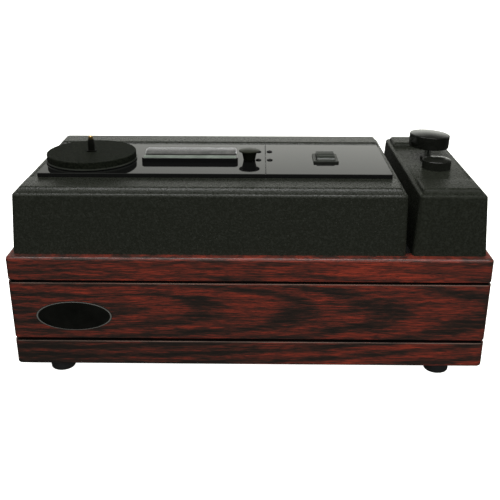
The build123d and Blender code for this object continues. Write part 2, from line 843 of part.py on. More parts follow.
# The sleeve centres the record: straight for the label hole, then tapered to lead it on.
with BuildPart() as spindle_sleeve:
    with BuildSketch(spindle_plane):
        with BuildLine():
            Polyline(
                (spindle_radius, mat_top),
                (sleeve_flange_radius, mat_top),
                (sleeve_flange_radius, mat_top + sleeve_flange_thickness),
                (sleeve_radius, mat_top + sleeve_flange_thickness),
                (sleeve_radius, mat_top + sleeve_straight),
                (sleeve_tip_radius, mat_top + sleeve_rise),
                (spindle_radius, mat_top + sleeve_rise),
                close=True,
            )
        make_face()
    revolve(axis=spindle_axis)
spindle_sleeve.part.label = "spindle_sleeve"
export_step(spindle_sleeve.part, "parts/spindle_sleeve.step")

# ================================================================ drive roller
roller_plane = Plane(origin=(roller_x, axis_y, 0), x_dir=(1, 0, 0), z_dir=(0, -1, 0))
roller_axis = Axis((roller_x, axis_y, 0), (0, 0, 1))
ridge_z = roller_foot_z + roller_body_height
bevel_z = ridge_z + roller_ridge_height
flange_z = bevel_z + roller_bevel_height
flange_top = flange_z + roller_flange_height
bore_z = roller_foot_z + roller_bore_depth

with BuildPart() as drive_roller:
    with BuildSketch(roller_plane):
        with BuildLine():
            Polyline(
                (0, flange_top + roller_dome),
                (0, bore_z),
                (motor_shaft_radius, bore_z),
                (motor_shaft_radius, roller_foot_z),
                (roller_foot_radius, roller_foot_z),
                (roller_body_radius, ridge_z),
                (roller_ridge_radius, ridge_z),
                (roller_ridge_radius, bevel_z),
                (roller_flange_radius, flange_z),
                (roller_flange_radius, flange_top),
            )
            ThreePointArc(
                (roller_flange_radius, flange_top),
                dome_middle(roller_flange_radius, roller_dome, flange_top),
                (0, flange_top + roller_dome),
            )
        make_face()
    revolve(axis=roller_axis)
drive_roller.part.label = "drive_roller"
export_step(drive_roller.part, "parts/drive_roller.step")

shaft_foot = motor_plate_z - drive_shaft_reach

with BuildPart() as motor_shaft:
    with BuildSketch(Plane.XY.offset(shaft_foot)):
        with Locations((roller_x, axis_y)):
            Circle(motor_shaft_radius)
    extrude(amount=bore_z - shaft_foot)
motor_shaft.part.label = "motor_shaft"
export_step(motor_shaft.part, "parts/motor_shaft.step")

with BuildPart() as drive_motor:
    with BuildSketch(Plane.XY.offset(motor_plate_z - drive_motor_height)):
        with Locations((roller_x, axis_y)):
            Circle(drive_motor_radius)
    extrude(amount=drive_motor_height)
    motor_rims = drive_motor.edges().filter_by(GeomType.CIRCLE)
    fillet(motor_rims, radius=drive_motor_edge_round)
    with BuildSketch(Plane.XY.offset(motor_plate_z)):
        with Locations((roller_x, axis_y)):
            Circle(drive_motor_boss_radius)
    extrude(amount=drive_motor_boss_height)
    with BuildSketch(Plane.XY.offset(motor_plate_z - drive_motor_height)):
        with Locations((roller_x, axis_y)):
            Circle(drive_motor_radius / 3)
    extrude(amount=-drive_motor_cap_height)
    with BuildSketch(Plane.XY.offset(shaft_foot - motion_gap)):
        with Locations((roller_x, axis_y)):
            Circle(motor_shaft_radius + running_clearance)
    extrude(
        amount=motor_plate_z + drive_motor_boss_height - shaft_foot + motion_gap,
        mode=Mode.SUBTRACT,
    )
drive_motor.part.label = "drive_motor"
export_step(drive_motor.part, "parts/drive_motor.step")

# ================================================================ suction bar
bar_mid_x = (bar_left + bar_right) / 2
bar_mid_y = (bar_front + bar_back) / 2
slot_mid_y = (slot_front + slot_back) / 2
slot_width = slot_back - slot_front
bar_top = deck_z + bar_height

with BuildPart() as vacuum_bar:
    with BuildSketch(Plane.XY.offset(deck_z)):
        with Locations((bar_mid_x, bar_mid_y)):
            RectangleRounded(bar_length, bar_back - bar_front, bar_end_radius)
    extrude(amount=bar_height)
    fillet(vacuum_bar.faces().sort_by(Axis.Z)[-1].edges(), radius=bar_edge_round)
    with BuildSketch(Plane.XY.offset(deck_z)):
        with Locations((bar_mid_x, slot_mid_y)):
            SlotOverall(bar_length - 2 * slot_end_margin, slot_width)
    extrude(amount=bar_height, mode=Mode.SUBTRACT)
vacuum_bar.part.label = "vacuum_bar"
export_step(vacuum_bar.part, "parts/vacuum_bar.step")

lip_length = bar_length - 2 * lip_end_margin
lip_left = Plane.YZ.offset(bar_left + lip_end_margin)
front_lip_foot = bar_front + bar_edge_round

# The front lip rises in a wedge towards the slot.
with BuildPart() as front_lip:
    with BuildSketch(lip_left):
        with BuildLine():
            Polyline(
                (front_lip_foot, bar_top),
                (slot_front, bar_top),
                (slot_front, bar_top + front_lip_height),
                (slot_front - front_lip_crown, bar_top + front_lip_height),
                (front_lip_foot, bar_top + front_lip_toe),
                close=True,
            )
        make_face()
    extrude(amount=lip_length)
    front_ends = front_lip.edges().filter_by(Axis.Z)
    fillet(front_ends.group_by(Axis.Y)[-1], radius=front_lip_end_round)
front_lip.part.label = "front_lip"
export_step(front_lip.part, "parts/front_lip.step")

# The rear lip is a rolled pile strip: steep at the slot, full in the middle, low behind.
with BuildPart() as rear_lip:
    with BuildSketch(lip_left):
        with BuildLine():
            Line((rear_lip_back, bar_top), (slot_back, bar_top))
            Spline(
                (slot_back, bar_top),
                (slot_back + rear_lip_rise, bar_top + 0.75 * rear_lip_height),
                (slot_back + rear_lip_crest_front, bar_top + 0.97 * rear_lip_height),
                (rear_lip_back - rear_lip_crest_back, bar_top + rear_lip_height),
                (rear_lip_back - rear_lip_tail, bar_top + 0.75 * rear_lip_height),
                (rear_lip_back, bar_top),
                tangents=[(0, 1), (0, -1)],
            )
        make_face()
    extrude(amount=lip_length)
rear_lip.part.label = "rear_lip"
export_step(rear_lip.part, "parts/rear_lip.step")

# Flanged hopper under the deck plate that narrows to a round spigot.
duct_foot = deck_underside - duct_flange_thickness - duct_drop
spigot_radius = hose_inner_radius
spigot_bore = spigot_radius - duct_wall

with BuildPart() as suction_duct:
    with BuildSketch(Plane.XY.offset(deck_underside)):
        with Locations((duct_x, slot_mid_y)):
            RectangleRounded(duct_flange_length, duct_flange_width, duct_corner_radius)
    extrude(amount=-duct_flange_thickness)
    with BuildSketch(Plane.XY.offset(deck_underside - duct_flange_thickness)):
        with Locations((duct_x, slot_mid_y)):
            RectangleRounded(
                port_length + 2 * duct_wall, port_width + 2 * duct_wall, duct_wall
            )
    with BuildSketch(Plane.XY.offset(duct_foot)):
        with Locations((duct_x, axis_y)):
            Circle(spigot_radius)
    loft()
    with BuildSketch(Plane.XY.offset(duct_foot)):
        with Locations((duct_x, axis_y)):
            Circle(spigot_radius)
    extrude(amount=-spigot_length)
    with BuildSketch(Plane.XY.offset(deck_underside)):
        with Locations((duct_x, slot_mid_y)):
            RectangleRounded(port_length, port_width, port_corner_radius)
    with BuildSketch(Plane.XY.offset(duct_foot)):
        with Locations((duct_x, axis_y)):
            Circle(spigot_bore)
    loft(mode=Mode.SUBTRACT)
    with BuildSketch(Plane.XY.offset(duct_foot)):
        with Locations((duct_x, axis_y)):
            Circle(spigot_bore)
    extrude(amount=-spigot_length, mode=Mode.SUBTRACT)
suction_duct.part.label = "suction_duct"
export_step(suction_duct.part, "parts/suction_duct.step")

hose_top = duct_foot - spigot_length + hose_grip
hose_bottom = tank_lid_z + lid_spigot_height - hose_grip

with BuildPart() as suction_hose:
    with BuildSketch(Plane.XY.offset(hose_bottom)):
        with Locations((duct_x, axis_y)):
            Circle(hose_inner_radius + hose_wall)
            Circle(hose_inner_radius, mode=Mode.SUBTRACT)
    extrude(amount=hose_top - hose_bottom)
suction_hose.part.label = "suction_hose"
export_step(suction_hose.part, "parts/suction_hose.step")

# ================================================================ rocker switch
bezel_top = deck_z + bezel_height
pivot_z = bezel_top - rocker_pivot_drop
case_bottom = deck_z - switch_case_depth
well_width = rocker_width + 2 * motion_gap
well_length = 2 * (rocker_radius + motion_gap)
well_depth = rocker_pivot_drop + rocker_depth + well_floor_gap
rocker_top = bezel_top + rocker_end_rise

with BuildPart() as switch_bezel:
    with BuildSketch(Plane.XY.offset(deck_z)):
        with Locations((switch_x, switch_y)):
            RectangleRounded(bezel_width, bezel_length, bezel_corner_radius)
    extrude(amount=bezel_height)
    fillet(switch_bezel.faces().sort_by(Axis.Z)[-1].edges(), radius=bezel_round)
    with BuildSketch(Plane.XY.offset(deck_z)):
        with Locations((switch_x, switch_y)):
            Rectangle(switch_case_width, switch_case_length)
    extrude(amount=-switch_case_depth)
    with BuildSketch(Plane.XY.offset(case_bottom)):
        with Locations((switch_x, switch_y)):
            with GridLocations(0, terminal_spacing, 1, 3):
                Rectangle(terminal_width, terminal_thickness)
    extrude(amount=-terminal_length)
    with BuildSketch(Plane.XY.offset(bezel_top)):
        with Locations((switch_x, switch_y)):
            Rectangle(well_width, well_length)
    extrude(amount=-well_depth, mode=Mode.SUBTRACT)
    with Locations(Location((switch_x, switch_y, pivot_z), (0, 90, 0))):
        Cylinder(
            rocker_pin_radius + running_clearance,
            well_width + 2 * rocker_pin_length,
            mode=Mode.SUBTRACT,
        )
switch_bezel.part.label = "switch_bezel"
export_step(switch_bezel.part, "parts/switch_bezel.step")

# The rocker is a slice of a drum about its pivot, with a shallow V across the top. It is
# made level and then tipped to its rest position.
with BuildPart() as switch_rocker:
    with BuildSketch(Plane.YZ.offset(switch_x)):
        with BuildLine():
            Polyline(
                (switch_y - rocker_radius, pivot_z - rocker_depth),
                (switch_y + rocker_radius, pivot_z - rocker_depth),
                (switch_y + rocker_radius, rocker_top),
                (switch_y, rocker_top - rocker_dip),
                (switch_y - rocker_radius, rocker_top),
                close=True,
            )
        make_face()
        with Locations((switch_y, pivot_z)):
            Circle(rocker_radius, mode=Mode.INTERSECT)
    extrude(amount=rocker_width / 2, both=True)
    crown = switch_rocker.edges().filter_by(Axis.X).group_by(Axis.Z)[-1]
    fillet(crown, radius=rocker_edge_round)
    with Locations(Location((switch_x, switch_y, pivot_z), (0, 90, 0))):
        Cylinder(rocker_pin_radius, rocker_width + 2 * rocker_pin_length)
rocker_axis = Axis((switch_x, switch_y, pivot_z), (1, 0, 0))
tipped_rocker = switch_rocker.part.rotate(rocker_axis, rocker_rest_tilt)
tipped_rocker.label = "switch_rocker"
export_step(tipped_rocker, "parts/switch_rocker.step")

# ================================================================ fluid pump
lean = math.radians(knob_lean)
knob_middle = (pump_x, pump_y, knob_z)
knob_plane = Plane(
    origin=knob_middle, x_dir=(math.cos(lean), 0, -math.sin(lean)), z_dir=(0, -1, 0)
)
knob_axis = Axis(knob_middle, (math.sin(lean), 0, math.cos(lean)))
knob_rim = knob_thickness - knob_edge_round
knob_face_radius = knob_radius - knob_edge_round

with BuildPart() as pump_knob:
    with BuildSketch(knob_plane):
        with BuildLine():
            Polyline(
                (0, knob_thickness + knob_dome),
                (0, 0),
                (knob_radius - knob_edge_round / 2, 0),
                (knob_radius, knob_edge_round / 2),
                (knob_radius, knob_rim),
            )
            RadiusArc(
                (knob_radius, knob_rim), (knob_face_radius, knob_thickness), -knob_edge_round
            )
            ThreePointArc(
                (knob_face_radius, knob_thickness),
                dome_middle(knob_face_radius, knob_dome, knob_thickness),
                (0, knob_thickness + knob_dome),
            )
        make_face()
    revolve(axis=knob_axis)
    with BuildSketch(Plane.XY.offset(knob_z + knob_bore_depth)):
        with Locations((pump_x, pump_y)):
            Circle(rod_radius)
    extrude(amount=-2 * knob_bore_depth, mode=Mode.SUBTRACT)
pump_knob.part.label = "pump_knob"
export_step(pump_knob.part, "parts/pump_knob.step")

with BuildPart() as pump_rod:
    with BuildSketch(Plane.XY.offset(piston_top - piston_height)):
        with Locations((pump_x, pump_y)):
            Circle(rod_radius)
    extrude(amount=knob_z + knob_bore_depth - piston_top + piston_height)
pump_rod.part.label = "pump_rod"
export_step(pump_rod.part, "parts/pump_rod.step")

with BuildPart() as pump_piston:
    with BuildSketch(Plane.XY.offset(piston_top)):
        with Locations((pump_x, pump_y)):
            Circle(barrel_bore - motion_gap)
            Circle(rod_radius, mode=Mode.SUBTRACT)
    extrude(amount=-piston_height)
pump_piston.part.label = "pump_piston"
export_step(pump_piston.part, "parts/pump_piston.step")

with BuildPart() as pump_collar:
    with BuildSketch(Plane.XY.offset(flat_z)):
        with Locations((pump_x, pump_y)):
            Circle(collar_radius)
    extrude(amount=collar_height)
    chamfer(pump_collar.edges().group_by(Axis.Z)[-1], length=collar_chamfer)
    with BuildSketch(Plane.XY.offset(flat_z)):
        with Locations((pump_x, pump_y)):
            Circle(collar_neck_radius)
    extrude(amount=-collar_neck_length)
    with BuildSketch(Plane.XY.offset(flat_z + collar_height)):
        with Locations((pump_x, pump_y)):
            Circle(rod_radius + running_clearance)
    extrude(amount=-collar_height - collar_neck_length, mode=Mode.SUBTRACT)
pump_collar.part.label = "pump_collar"
export_step(pump_collar.part, "parts/pump_collar.step")

with BuildPart() as pump_barrel:
    with BuildSketch(Plane.XY.offset(barrel_bottom)):
        with Locations((pump_x, pump_y)):
            Circle(barrel_radius)
    extrude(amount=cover_ceiling - barrel_bottom)
    with BuildSketch(Plane.XY.offset(barrel_bottom + barrel_end)):
        with Locations((pump_x, pump_y)):
            Circle(barrel_bore)
    extrude(amount=cover_ceiling - barrel_bottom - 2 * barrel_end, mode=Mode.SUBTRACT)
    with BuildSketch(Plane.XY.offset(cover_ceiling)):
        with Locations((pump_x, pump_y)):
            Circle(collar_neck_radius)
    extrude(amount=-barrel_end, mode=Mode.SUBTRACT)
    with BuildSketch(Plane.XY.offset(barrel_bottom)):
        with Locations((pump_x, pump_y)):
            Circle(fluid_tube_bore)
    extrude(amount=barrel_end, mode=Mode.SUBTRACT)
pump_barrel.part.label = "pump_barrel"
export_step(pump_barrel.part, "parts/pump_barrel.step")

spring_foot = barrel_bottom + barrel_end + spring_wire_radius
spring_head = piston_top - piston_height - spring_wire_radius
spring_length = spring_head - spring_foot

with BuildPart() as pump_spring:
    with BuildLine():
        coil = Helix(
            pitch=spring_length / spring_turns,
            height=spring_length,
            radius=spring_radius,
            center=(pump_x, pump_y, spring_foot),
        )
    with BuildSketch(Plane(origin=coil @ 0, z_dir=coil % 0)):
        Circle(spring_wire_radius)
    sweep(path=coil, is_frenet=True)
pump_spring.part.label = "pump_spring"
export_step(pump_spring.part, "parts/pump_spring.step")

tube_z = ceiling - fluid_tube_drop

with BuildPart() as fluid_tube:
    with BuildLine():
        tube_path = FilletPolyline(
            (pump_x, pump_y, barrel_bottom),
            (pump_x, pump_y, tube_z),
            (fluid_outlet_x, fluid_outlet_y, tube_z),
            (fluid_outlet_x, fluid_outlet_y, deck_underside),
            radius=fluid_tube_bend,
        )
    with BuildSketch(Plane(origin=tube_path @ 0, z_dir=tube_path % 0)):
        Circle(fluid_tube_radius)
        Circle(fluid_tube_bore, mode=Mode.SUBTRACT)
    sweep(path=tube_path)
fluid_tube.part.label = "fluid_tube"
export_step(fluid_tube.part, "parts/fluid_tube.step")

# ================================================================ fluid reservoir
filler_plane = Plane(origin=(filler_x, filler_y, 0), x_dir=(1, 0, 0), z_dir=(0, -1, 0))
filler_axis = Axis((filler_x, filler_y, 0), (0, 0, 1))
cap_z = flat_z + motion_gap
cap_top = flat_z + cap_height
neck_top = flat_z + neck_rise

with BuildPart() as filler_cap:
    with BuildSketch(filler_plane):
        with BuildLine():
            Polyline(
                (0, cap_top),
                (0, neck_top + motion_gap),
                (neck_radius + motion_gap, neck_top + motion_gap),
                (neck_radius + motion_gap, cap_z),
                (cap_radius, cap_z),
                (cap_radius, cap_top - cap_chamfer),
                (cap_radius - cap_chamfer, cap_top),
                close=True,
            )
        make_face()
    revolve(axis=filler_axis)
filler_cap.part.label = "filler_cap"
export_step(filler_cap.part, "parts/filler_cap.step")

with BuildPart() as filler_neck:
    with BuildSketch(Plane.XY.offset(bottle_top)):
        with Locations((filler_x, filler_y)):
            Circle(neck_radius)
            Circle(neck_bore, mode=Mode.SUBTRACT)
    extrude(amount=neck_top - bottle_top)
filler_neck.part.label = "filler_neck"
export_step(filler_neck.part, "parts/filler_neck.step")

bottle_mid = ((bottle_left + bottle_right) / 2, (bottle_front + bottle_back) / 2)
bottle_size = (bottle_right - bottle_left, bottle_back - bottle_front)

with BuildPart() as reservoir_bottle:
    with BuildSketch(Plane.XY.offset(floor_top)):
        with Locations(bottle_mid):
            RectangleRounded(*bottle_size, bottle_corner_radius)
    extrude(amount=bottle_height)
    with BuildSketch(Plane.XY.offset(floor_top + bottle_wall)):
        with Locations(bottle_mid):
            RectangleRounded(
                bottle_size[0] - 2 * bottle_wall,
                bottle_size[1] - 2 * bottle_wall,
                bottle_corner_radius - bottle_wall,
            )
    extrude(amount=bottle_height - 2 * bottle_wall, mode=Mode.SUBTRACT)
    with BuildSketch(Plane.XY.offset(bottle_top)):
        with Locations((filler_x, filler_y)):
            Circle(neck_bore)
    extrude(amount=-bottle_wall, mode=Mode.SUBTRACT)
reservoir_bottle.part.label = "reservoir_bottle"
export_step(reservoir_bottle.part, "parts/reservoir_bottle.step")

# ================================================================ suction plant
tank_mid = ((tank_left + tank_right) / 2, (tank_front + tank_back) / 2)
tank_size = (tank_right - tank_left, tank_back - tank_front)
inlet_bore = inlet_radius - link_wall

with BuildPart() as waste_tank:
    with BuildSketch(Plane.XY.offset(floor_top)):
        with Locations(tank_mid):
            RectangleRounded(*tank_size, tank_corner_radius)
    extrude(amount=tank_height)
    offset(amount=-tank_wall, openings=waste_tank.faces().sort_by(Axis.Z)[-1])
    with BuildSketch(Plane.YZ.offset(tank_right)):
        with Locations((vacuum_y, inlet_z)):
            Circle(inlet_bore)
    extrude(amount=-tank_wall, mode=Mode.SUBTRACT)
    with BuildSketch(Plane.XZ.offset(-tank_back)):
        with Locations((drain_x, drain_z)):
            Circle(drain_bore)
    extrude(amount=tank_wall, mode=Mode.SUBTRACT)
waste_tank.part.label = "waste_tank"
export_step(waste_tank.part, "parts/waste_tank.step")

with BuildPart() as tank_lid:
    with BuildSketch(Plane.XY.offset(tank_top)):
        with Locations(tank_mid):
            RectangleRounded(*tank_size, tank_corner_radius)
    extrude(amount=tank_lid_thickness)
    with BuildSketch(Plane.XY.offset(tank_lid_z)):
        with Locations((duct_x, axis_y)):
            Circle(spigot_radius)
    extrude(amount=lid_spigot_height)
    with BuildSketch(Plane.XY.offset(tank_top)):
        with Locations((duct_x, axis_y)):
            Circle(spigot_bore)
    extrude(amount=tank_lid_thickness + lid_spigot_height, mode=Mode.SUBTRACT)
tank_lid.part.label = "tank_lid"
export_step(tank_lid.part, "parts/tank_lid.step")

# Fan can below, motor above, with a flat-ended inlet stub that faces the tank.
inlet_x = vacuum_x - fan_radius - inlet_length

with BuildPart() as vacuum_motor:
    with BuildSketch(Plane.XY.offset(fan_z)):
        with Locations((vacuum_x, vacuum_y)):
            Circle(fan_radius)
    extrude(amount=fan_height)
    fillet(vacuum_motor.edges().filter_by(GeomType.CIRCLE), radius=vacuum_edge_round)
    with BuildSketch(Plane.XY.offset(fan_z + fan_height)):
        with Locations((vacuum_x, vacuum_y)):
            Circle(vacuum_motor_radius)
    extrude(amount=vacuum_motor_height)
    fillet(vacuum_motor.edges().group_by(Axis.Z)[-1], radius=vacuum_edge_round)
    with BuildSketch(Plane.YZ.offset(inlet_x)):
        with Locations((vacuum_y, inlet_z)):
            Circle(inlet_radius)
    extrude(amount=inlet_length + fan_radius / 2)
    with BuildSketch(Plane.YZ.offset(inlet_x)):
        with Locations((vacuum_y, inlet_z)):
            Circle(inlet_bore)
    extrude(amount=inlet_length + fan_radius / 2, mode=Mode.SUBTRACT)
vacuum_motor.part.label = "vacuum_motor"
export_step(vacuum_motor.part, "parts/vacuum_motor.step")

with BuildPart() as motor_pads:
    with BuildSketch(Plane.XY.offset(floor_top)):
        with Locations((vacuum_x, vacuum_y)):
            with PolarLocations(pad_circle_radius, pad_count):
                Circle(pad_radius)
    extrude(amount=pad_height)
motor_pads.part.label = "motor_pads"
export_step(motor_pads.part, "parts/motor_pads.step")

with BuildPart() as link_hose:
    with BuildSketch(Plane.YZ.offset(tank_right)):
        with Locations((vacuum_y, inlet_z)):
            Circle(inlet_radius)
            Circle(inlet_bore, mode=Mode.SUBTRACT)
    extrude(amount=inlet_x - tank_right)
link_hose.part.label = "link_hose"
export_step(link_hose.part, "parts/link_hose.step")

drain_end = rear_face - drain_set_back

with BuildPart() as drain_spigot:
    with BuildSketch(Plane.XZ.offset(-tank_back)):
        with Locations((drain_x, drain_z)):
            Circle(drain_radius)
            Circle(drain_bore, mode=Mode.SUBTRACT)
    extrude(amount=tank_back - drain_end)
drain_spigot.part.label = "drain_spigot"
export_step(drain_spigot.part, "parts/drain_spigot.step")

# Push-on cap: a cup with a wider grip at its closed end.
cap_end_y = drain_end + motion_gap + drain_cap_end
drain_plane = Plane(origin=(drain_x, 0, drain_z), x_dir=(0, 1, 0), z_dir=(1, 0, 0))
drain_axis = Axis((drain_x, 0, drain_z), (0, 1, 0))

with BuildPart() as drain_cap:
    with BuildSketch(drain_plane):
        with BuildLine():
            Polyline(
                (cap_end_y, 0),
                (drain_end + motion_gap, 0),
                (drain_end + motion_gap, drain_radius + motion_gap),
                (cap_end_y - drain_cap_length, drain_radius + motion_gap),
                (cap_end_y - drain_cap_length, drain_cap_radius),
                (cap_end_y - drain_cap_grip, drain_cap_radius),
                (cap_end_y - drain_cap_grip, drain_cap_grip_radius),
                (cap_end_y, drain_cap_grip_radius),
                close=True,
            )
        make_face()
    revolve(axis=drain_axis)
drain_cap.part.label = "drain_cap"
export_step(drain_cap.part, "parts/drain_cap.step")

# Cord gland: an outer flange, a barrel through the board and a nut inside.
with BuildPart() as cord_gland:
    with BuildSketch(Plane.XZ.offset(-rear_inner)):
        with Locations((gland_x, gland_z)):
            Circle(gland_radius)
    extrude(amount=-board_thickness)
    with BuildSketch(Plane.XZ.offset(-rear_face)):
        with Locations((gland_x, gland_z)):
            Circle(gland_flange_radius)
    extrude(amount=-gland_flange)
    fillet(cord_gland.edges().group_by(Axis.Y)[-1], radius=gland_edge_round)
    with BuildSketch(Plane.XZ.offset(-rear_inner)):
        with Locations((gland_x, gland_z)):
            RegularPolygon(gland_nut_radius, 6)
    extrude(amount=gland_nut)
    with BuildSketch(Plane.XZ.offset(-rear_inner + gland_nut)):
        with Locations((gland_x, gland_z)):
            Circle(gland_bore)
    extrude(amount=-gland_nut - board_thickness - gland_flange, mode=Mode.SUBTRACT)
cord_gland.part.label = "cord_gland"
export_step(cord_gland.part, "parts/cord_gland.step")
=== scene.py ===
import math

import bmesh
import bpy
from bpy.props import FloatProperty, FloatVectorProperty, PointerProperty
from mathutils import Matrix, Vector, noise


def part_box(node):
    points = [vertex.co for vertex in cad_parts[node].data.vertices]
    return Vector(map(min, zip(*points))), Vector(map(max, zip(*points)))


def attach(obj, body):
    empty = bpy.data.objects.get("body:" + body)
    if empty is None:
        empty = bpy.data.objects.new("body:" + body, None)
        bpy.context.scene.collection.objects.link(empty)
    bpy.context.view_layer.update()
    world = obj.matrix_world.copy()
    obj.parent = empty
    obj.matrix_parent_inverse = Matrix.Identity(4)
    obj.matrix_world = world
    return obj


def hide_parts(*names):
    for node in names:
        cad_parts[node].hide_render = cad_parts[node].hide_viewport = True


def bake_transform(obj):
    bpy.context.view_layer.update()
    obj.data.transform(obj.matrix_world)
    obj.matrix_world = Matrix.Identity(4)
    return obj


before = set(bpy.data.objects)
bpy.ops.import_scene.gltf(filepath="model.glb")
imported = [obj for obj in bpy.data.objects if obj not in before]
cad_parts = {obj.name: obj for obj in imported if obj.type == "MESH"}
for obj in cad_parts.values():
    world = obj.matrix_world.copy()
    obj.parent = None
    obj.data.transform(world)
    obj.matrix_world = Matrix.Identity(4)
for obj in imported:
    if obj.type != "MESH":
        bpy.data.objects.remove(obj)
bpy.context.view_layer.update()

bl_info = {
    "name": "Record cleaning machine",
    "version": (1, 0, 0),
    "blender": (4, 5, 0),
    "location": "3D View > Sidebar > Record Cleaner",
    "description": "Dresses a record cleaning machine: wood cabinet, covers, deck and controls",
    "category": "Object",
}

MM = 0.001
MERGE = 0.000002  # points nearer than this become one point


# ---- shader nodes
class Signal:
    """A node's output socket. Sums on it add Math nodes."""

    def __init__(self, socket):
        self.socket = socket

    def sum(self, operation, first, second=0.0):
        tree = self.socket.id_data
        node = tree.nodes.new("ShaderNodeMath")
        node.operation = operation
        for place, value in enumerate((first, second)):
            if isinstance(value, Signal):
                tree.links.new(value.socket, node.inputs[place])
            else:
                node.inputs[place].default_value = value
        return Signal(node.outputs[0])

    def __add__(self, other):
        return self.sum("ADD", self, other)

    __radd__ = __add__

    def __sub__(self, other):
        return self.sum("SUBTRACT", self, other)

    def __rsub__(self, other):
        return self.sum("SUBTRACT", other, self)

    def __mul__(self, other):
        return self.sum("MULTIPLY", self, other)

    __rmul__ = __mul__

    def __truediv__(self, other):
        return self.sum("DIVIDE", self, other)

    def root(self):
        return self.sum("SQRT", self)

    def sine(self):
        return self.sum("SINE", self)

    def size(self):
        return self.sum("ABSOLUTE", self)

    def most(self, other):
        return self.sum("MAXIMUM", self, other)

    def least(self, other):
        return self.sum("MINIMUM", self, other)


class Nodes:
    """Builds the nodes of one tree."""

    def __init__(self, tree):
        self.tree = tree
        self.tree.nodes.clear()

    def node(self, kind, settings=None, inputs=None, output=0):
        """Adds a node: its settings first, then values or links for its sockets."""
        made = self.tree.nodes.new(kind)
        for name, value in (settings or {}).items():
            if name == "stops":
                self.set_stops(made.color_ramp, value)
            else:
                setattr(made, name, value)
        for name, value in (inputs or {}).items():
            self.feed(made.inputs[name], value)
        return Signal(made.outputs[output]) if made.outputs else made

    def set_stops(self, ramp, stops):
        while len(ramp.elements) < len(stops):
            ramp.elements.new(1.0)
        for element, (place, colour) in zip(ramp.elements, stops):
            element.position = place
            element.color = (*colour, 1.0)

    def feed(self, socket, value):
        if isinstance(value, Signal):
            self.tree.links.new(value.socket, socket)
        else:
            socket.default_value = value

    def place(self, scale=(1, 1, 1), shift=(0, 0, 0), turn=(0, 0, 0)):
        """Object coordinates in metres, shifted, turned and scaled."""
        coordinates = self.node("ShaderNodeTexCoord", output=3)
        inputs = {"Vector": coordinates, "Location": shift, "Rotation": turn, "Scale": scale}
        return self.node("ShaderNodeMapping", {"vector_type": "POINT"}, inputs)

    def parts(self, vector):
        split = self.node("ShaderNodeSeparateXYZ", {}, {"Vector": vector}).socket.node
        return [Signal(socket) for socket in split.outputs]

    def texture_space(self, scale, **placed):
        """A texture's vector and scale. Three scales stretch it along X, Y and Z."""
        if isinstance(scale, tuple):
            return {"Vector": self.place(scale, **placed), "Scale": 1.0}
        return {"Vector": self.place(**placed), "Scale": scale}

    def noise(self, scale, detail=3.0, roughness=0.6, **placed):
        inputs = {"Detail": detail, "Roughness": roughness}
        inputs.update(self.texture_space(scale, **placed))
        return self.node("ShaderNodeTexNoise", {}, inputs)

    def cells(self, scale, feature="F1"):
        inputs = self.texture_space(scale)
        return self.node("ShaderNodeTexVoronoi", {"feature": feature}, inputs)

    def span(self, value, low, high, to_low=0.0, to_high=1.0):
        """Maps a range of values onto another, clamped at its ends."""
        sockets = ("Value", "From Min", "From Max", "To Min", "To Max")
        inputs = dict(zip(sockets, (value, low, high, to_low, to_high)))
        return self.node("ShaderNodeMapRange", {"clamp": True}, inputs)

    def ramp(self, value, stops):
        return self.node("ShaderNodeValToRGB", {"stops": stops}, {"Fac": value})

    def mix(self, factor, first, second):
        first, second = (
            colour if isinstance(colour, Signal) else (*colour, 1.0)
            for colour in (first, second)
        )
        inputs = {0: factor, 6: first, 7: second}
        return self.node("ShaderNodeMix", {"data_type": "RGBA"}, inputs, output=2)

    def bump(self, height, distance, strength):
        inputs = {"Height": height, "Distance": distance, "Strength": strength}
        return self.node("ShaderNodeBump", {}, inputs)


class Finish(Nodes):
    """One material: a Principled shader and the nodes that vary it over the surface."""

    def __init__(self, name, **constants):
        self.material = bpy.data.materials.new(name)
        self.material.use_nodes = True
        super().__init__(self.material.node_tree)
        surface = self.node("ShaderNodeBsdfPrincipled")
        self.shader = surface.socket.node
        self.node("ShaderNodeOutputMaterial", {}, {"Surface": surface})
        for socket, value in constants.items():
            self.set(socket.replace("_", " "), value)

    def set(self, name, value):
        self.feed(self.shader.inputs[name], value)

    def wear(self, colour, roughness, normal):
        """Sets what varies over the surface, and hands over the material."""
        self.set("Base Color", colour)
        self.set("Roughness", roughness)
        self.set("Normal", normal)
        return self.material


# ---- finishes
GROOVES = ((0.0430, 0.0015), (0.1036, 0.0012))  # middle height and half width


